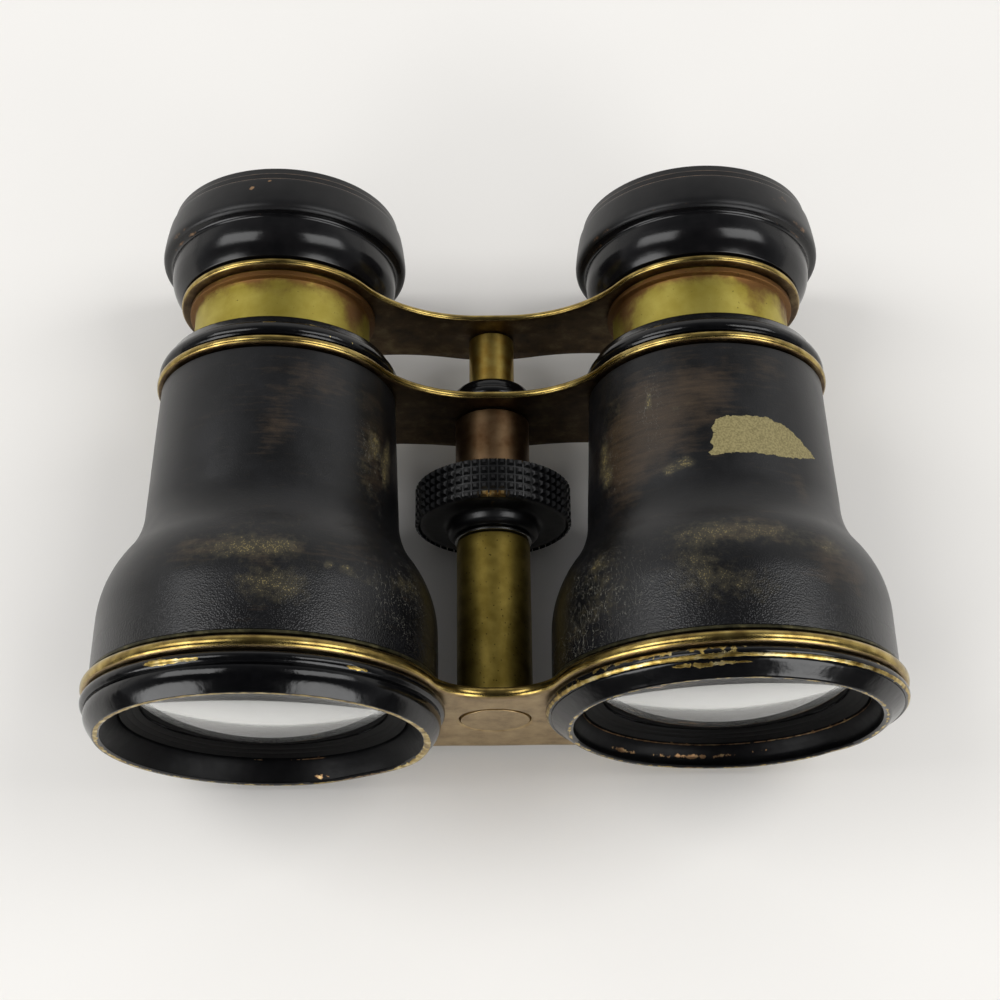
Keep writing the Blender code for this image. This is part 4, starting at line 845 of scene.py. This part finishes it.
# Focusing wheel: turned brass with rows of cut studs round the rim, japanned black. A boss
# in front runs on the washer, and the nut that drives the post is pressed in its middle.
def stud_tree():
    """Rows of small cut studs round the wheel's rim, on the plain wheel that comes in."""
    tree = bpy.data.node_groups.new("rim_studs", "GeometryNodeTree")
    for kind, names in (("Geometry", ["Wheel"]), ("Int", ["Columns", "Rows"]),
                        ("Float", ["Rim radius", "First row", "Row pitch", "Stud base", "Stud top",
                                   "Stud height", "Axis height", "Worn half angle"]),
                        ("Material", ["Finish"])):
        for name in names:
            tree.interface.new_socket(name=name, in_out="INPUT", socket_type="NodeSocket" + kind)
    tree.interface.new_socket(name="Studded", in_out="OUTPUT", socket_type="NodeSocketGeometry")
    given = put(tree, "NodeGroupInput").outputs
    count = put(tree, "Math", {0: given["Columns"], 1: given["Rows"]}, operation="MULTIPLY")
    points = put(tree, "GeometryNodeMeshLine", {"Count": count})
    index = put(tree, "GeometryNodeInputIndex")
    share = put(tree, "Math", {0: index, 1: given["Columns"]}, operation="DIVIDE")
    row = put(tree, "Math", {0: share}, operation="FLOOR")
    turn = put(tree, "Math", {0: share, 1: 2 * math.pi}, operation="MULTIPLY")
    sine = put(tree, "Math", {0: turn}, operation="SINE")
    cosine = put(tree, "Math", {0: turn}, operation="COSINE")
    across = put(tree, "Math", {0: sine, 1: given["Rim radius"]}, operation="MULTIPLY")
    up = put(tree, "Math", {
        0: cosine, 1: given["Rim radius"], 2: given["Axis height"]}, operation="MULTIPLY_ADD")
    along = put(tree, "Math", {
        0: row, 1: given["Row pitch"], 2: given["First row"]}, operation="MULTIPLY_ADD")
    spot = put(tree, "CombineXYZ", {"X": across, "Y": along, "Z": up})
    placed = put(tree, "GeometryNodeSetPosition", {"Geometry": points, "Position": spot})
    facing = put(tree, "CombineXYZ", {"Y": turn})
    cone = put(tree, "GeometryNodeMeshCone", {
        "Vertices": 4, "Side Segments": 1, "Radius Top": given["Stud top"],
        "Radius Bottom": given["Stud base"], "Depth": given["Stud height"]})
    stud = put(tree, "GeometryNodeTransform", {
        "Geometry": cone.outputs["Mesh"], "Rotation": (0, 0, math.pi / 4)})
    limit = put(tree, "Math", {0: given["Worn half angle"]}, operation="COSINE")
    top = put(tree, "Math", {0: limit, 1: cosine}, operation="LESS_THAN")
    first = put(tree, "Math", {0: row, 1: 0.5}, operation="LESS_THAN")
    rubbed = put(tree, "Math", {0: top, 1: first}, operation="MULTIPLY")
    rubbed = put(tree, "Math", {0: rubbed, 1: 0.62}, operation="MULTIPLY")
    marked_up = put(tree, "GeometryNodeStoreNamedAttribute", {
        "Geometry": placed, "Name": "wear", "Value": rubbed}, data_type="FLOAT", domain="POINT")
    studs = put(tree, "GeometryNodeInstanceOnPoints", {
        "Points": marked_up, "Instance": stud, "Rotation": facing})
    both = put(tree, "GeometryNodeJoinGeometry", {"Geometry": given["Wheel"]})
    tree.links.new(studs.outputs[0], both.inputs[0])
    real = put(tree, "GeometryNodeRealizeInstances", {"Geometry": both})
    coated = put(tree, "GeometryNodeSetMaterial", {"Geometry": real, "Material": given["Finish"]})
    put(tree, "NodeGroupOutput", {"Studded": coated})
    return tree


HUB_BORE, WHEEL_RADIUS = 5.17, 11.15
boss = curve_on([(5.45, 27.8), (5.95, 27.86), (6.38, 28.08), (6.68, 28.45), (6.82, 28.95),
                 (6.95, 29.45), (7.3, 29.8), (8.0, 29.9), (8.9, 29.9), (9.9, 29.84)], 4)
wheel = [(HUB_BORE, 35.8), (HUB_BORE, 27.8)] + boss
wheel += [(10.55, 29.84, 0.12), (10.95, 29.98, 0.15), (11.12, 30.15, 0.1)]
wheel += [(WHEEL_RADIUS, 30.4 + 4.8 * i / 16) for i in range(17)]
wheel += [(WHEEL_RADIUS, 35.45), (11.08, 35.62, 0.1), (10.85, 35.8, 0.1)]
# A finger has rubbed the top of the wheel: its japan is thin there, on the face and the studs
plain = turned(wheel, z=COLUMN_Z, steps=150, paints={"wear": [(0, 30.2, 10, 0.5, 0.60)]})
holder = bpy.data.objects.new("wheel", plain)
bpy.context.scene.collection.objects.link(holder)
studding = holder.modifiers.new("studs", "NODES")
studding.node_group = stud_tree()
SIZES = {"Columns": 55, "Rows": 5, "Rim radius": 11.12, "First row": 30.22, "Row pitch": 1.25,
         "Stud base": 0.76, "Stud top": 0.34, "Stud height": 0.46, "Axis height": COLUMN_Z,
         "Worn half angle": 0.20, "Finish": RUBBED_JAPAN}
for item in studding.node_group.interface.items_tree:
    if item.name in SIZES:
        studding[item.identifier] = SIZES[item.name]
bpy.context.view_layer.update()
seen = holder.evaluated_get(bpy.context.evaluated_depsgraph_get())
studded = bpy.data.meshes.new_from_object(seen)
studded.materials.clear()
holder.modifiers.remove(studding)
bpy.data.objects.remove(holder)
dress("knurled_focusing_wheel", studded, [RUBBED_JAPAN], "japan", "wheel_assembly", "focus_wheel")
frame["nodes"]["wheel_nut"].material_slots[0].material = DULL_BRASS


# Post: a brass rod under the eye bridge, plain where it shows and threaded below. A stop ring
# sits on its end, and a slotted screw through the bridge holds it. The brass is ruddy and
# bright, because it slides in the nut. Its thread is drawn as rings, which only the nut sees.
POST_BRASS, tree, shader, place = finish("ruddy_post_brass")
tarnish = put(tree, "TexNoise", {"Vector": place, "Scale": 0.5, "Detail": 5})
tone = put(tree, "ValToRGB", {"Fac": tarnish}, stops=[(0.35, "#a8873f"), (0.65, "#bda65a")])
put(tree, shader, {"Base Color": tone, "Metallic": 1.0, "Roughness": 0.34})

CREST, GROOVE, ROD, RIDGES = 3.1, 2.86, 3.45, 28
post = [(0.0, 18.2), (2.2, 18.2), (2.2, 21.5), (2.9, 21.5), (CREST, 21.7)]
for i in range(RIDGES):
    at = 22.2 + 22.2 * i / RIDGES
    post += [(CREST, at), (CREST, at + 0.30), (GROOVE, at + 0.40), (GROOVE, at + 0.70)]
post += [(CREST, 44.4), (ROD, 44.7)] + [(ROD, 45 + 15.6 * i / 12) for i in range(13)]
post += [(ROD, 60.87), (1.9, 60.87), (1.9, 52.6), (0.0, 52.6)]
dress("focusing_post", turned(post, z=COLUMN_Z, steps=96), [POST_BRASS], "brass",
      "eyepiece_carriage", "focus_post")
head = [(3.6 * math.cos(a), 63.07 + 1.0 * math.sin(a))
        for a in [math.radians(88 * i / 14) for i in range(15)]]
screw = [(0.0, 52.9), (1.5, 52.9), (1.6, 53.0), (1.6, 62.57), (3.5, 62.57), (3.6, 62.67)] + head
screw = turned(screw + [(0.0, 64.07)], z=COLUMN_Z, steps=96)
SLOT_HALF, SLOT_FLOOR = 0.4, 63.5
bm = bmesh.new()
bm.from_mesh(screw)
for wall in (-SLOT_HALF, SLOT_HALF):
    bmesh.ops.bisect_plane(bm, geom=bm.verts[:] + bm.edges[:] + bm.faces[:], dist=1e-5,
                           plane_co=(0, 0, COLUMN_Z + wall), plane_no=(0, 0, 1))
for vertex in bm.verts:
    if vertex.co.y > SLOT_FLOOR and abs(vertex.co.z - COLUMN_Z) < SLOT_HALF - 0.01:
        vertex.co.y = SLOT_FLOOR
bm.to_mesh(screw)
bm.free()
dress("bridge_screw_slotted", screw, [POST_BRASS], "brass", "eyepiece_carriage", "bridge_screw")
frame["nodes"]["post_stop"].material_slots[0].material = NICKEL


# Table: a smooth board painted off-white, matt and almost even, which isn't part of the object. To
# glossy rays its front, from 20 mm ahead onwards, is painted near black: a painted dark reflection
# that stands for the dark room in front.
BOARD, tree, shader, place = finish("painted_board")
mottle = put(tree, "TexNoise", {"Vector": place, "Scale": 0.01, "Detail": 3})
tone = put(tree, "ValToRGB", {"Fac": mottle}, stops=[(0.3, "#f2efea"), (0.7, "#f5f2ed")])
# Glossy rays see the board's front painted near black: a painted dark reflection.
near = put(tree, "SeparateXYZ", {"Vector": place})
front_shade_reach = put(tree, "MapRange", {
    "Value": near.outputs["Y"], "From Min": -20.0, "From Max": -75.0},
    interpolation_type="SMOOTHSTEP")
ray = put(tree, "LightPath")
painted_dark_reflection = put(tree, "Math", {0: front_shade_reach, 1: ray.outputs["Is Glossy Ray"]}, operation="MULTIPLY")
tone = put(tree, "MixRGB", {"Fac": painted_dark_reflection, "Color1": tone, "Color2": "#1c1c1d"})
put(tree, shader, {"Base Color": tone, "Roughness": 0.75, "Specular IOR Level": 0.2})
board = bpy.data.meshes.new("table")
board.from_pydata([(-1.5, -1.5, 0), (1.5, -1.5, 0), (1.5, 1.5, 0), (-1.5, 1.5, 0)], [],
                  [(0, 1, 2, 3)])
board.materials.append(BOARD)
table = bpy.data.objects.new("table", board)
bpy.context.scene.collection.objects.link(table)


# Light: a room with two windows in front, and two soft boxes overhead, left and right, as
# their reflections on the japan and on the tubes show.
scene = bpy.context.scene
room = bpy.data.worlds.new("pale_room")
room.use_nodes = True
tree = room.node_tree
# Diffuse light comes evenly from the whole room, and the camera and rays through glass see it
# nearly white. What gloss mirrors is pale at the horizon and behind, dark overhead and in
# front, with two tall windows that stand on the horizon.
way = put(tree, "TexCoord")
height = put(tree, "VectorMath", {
    0: way.outputs["Generated"], 1: (0, -0.55, 1)}, operation="DOT_PRODUCT")
walls = put(tree, "ValToRGB", {"Fac": height.outputs["Value"]}, stops=[
    (0.0, "#e4e3e1"), (0.14, "#a9aaac"), (0.40, "#77787b"), (0.70, "#505154"), (1.0, "#26272a")])
# How near a direction lies to a window's middle is the cosine of the angle between them, and
# shrinking the height first makes the windows taller than wide.
upright = put(tree, "VectorMath", {
    0: way.outputs["Generated"], 1: (1, 1, 0.6)}, operation="MULTIPLY")
upright = put(tree, "VectorMath", {0: upright}, operation="NORMALIZE")
for turn, rise in ((-45, 0.16), (34, 0.24)):
    toward = (math.sin(math.radians(turn)), -math.cos(math.radians(turn)), rise)
    lean = put(tree, "VectorMath", {
        0: upright, 1: Vector(toward).normalized()}, operation="DOT_PRODUCT")
    window = put(tree, "MapRange", {
        "Value": lean.outputs["Value"], "From Min": 0.953, "From Max": 0.974},
        interpolation_type="SMOOTHSTEP")
    walls = put(tree, "MixRGB", {"Fac": window, "Color1": walls, "Color2": (5.3, 5.3, 5.3, 1.0)})
ray = put(tree, "LightPath")
seen_by_gloss = put(tree, "MixRGB", {
    "Fac": ray.outputs["Is Glossy Ray"], "Color1": "#b2b3b5", "Color2": walls})
straight = put(tree, "Math", {
    0: ray.outputs["Is Camera Ray"], 1: ray.outputs["Is Transmission Ray"]}, operation="MAXIMUM")
seen = put(tree, "MixRGB", {"Fac": straight, "Color1": seen_by_gloss, "Color2": "#f6f4f0"})
put(tree, tree.nodes["Background"], {"Color": seen})
scene.world = room
for name, place, wide, long, power, shines in (
        ("left_soft_box", (-0.42, 0.10, 0.50), 0.26, 0.44, 1.55, True),
        ("right_soft_box", (0.42, 0.10, 0.50), 0.26, 0.44, 1.55, True),
        ("left_window_light", (-0.48, -0.40, 0.28), 0.30, 0.30, 0.80, False),
        ("right_window_light", (0.46, -0.44, 0.28), 0.30, 0.30, 0.80, False)):
    box = bpy.data.lights.new(name, "AREA")
    box.shape = "RECTANGLE"
    box.size = wide
    box.size_y = long
    box.energy = power
    lamp = bpy.data.objects.new(name, box)
    lamp.visible_glossy = shines
    lamp.location = place
    lamp.rotation_euler = (Vector((0, 0, 0.02)) - lamp.location).to_track_quat("-Z", "Y").to_euler()
    scene.collection.objects.link(lamp)
scene.view_settings.view_transform = "Standard"


# Camera: as far away and as steep as the ellipses of the rings in the photograph say. Its
# three directions and its place are given in the optical frame.
camera = bpy.data.cameras.new("camera")
camera.sensor_width = 36
camera.lens = 60.08
camera.dof.use_dof = False
viewer = bpy.data.objects.new("camera", camera)
right = Vector((0.99992551, -0.01146658, 0.00418281))
down = Vector((-0.00873935, -0.91183336, -0.41046746))
ahead = Vector((0.00852068, 0.41040033, -0.91186565))
turn = Matrix((right, -down, -ahead)).transposed().to_4x4()
level = Matrix.Rotation(-TILT, 4, "X")
viewer.matrix_world = (Matrix.Translation(GLASSES @ Vector((-1.0717, -68.3332, 219.5159)))
                       @ level @ turn)
scene.collection.objects.link(viewer)
scene.camera = viewer
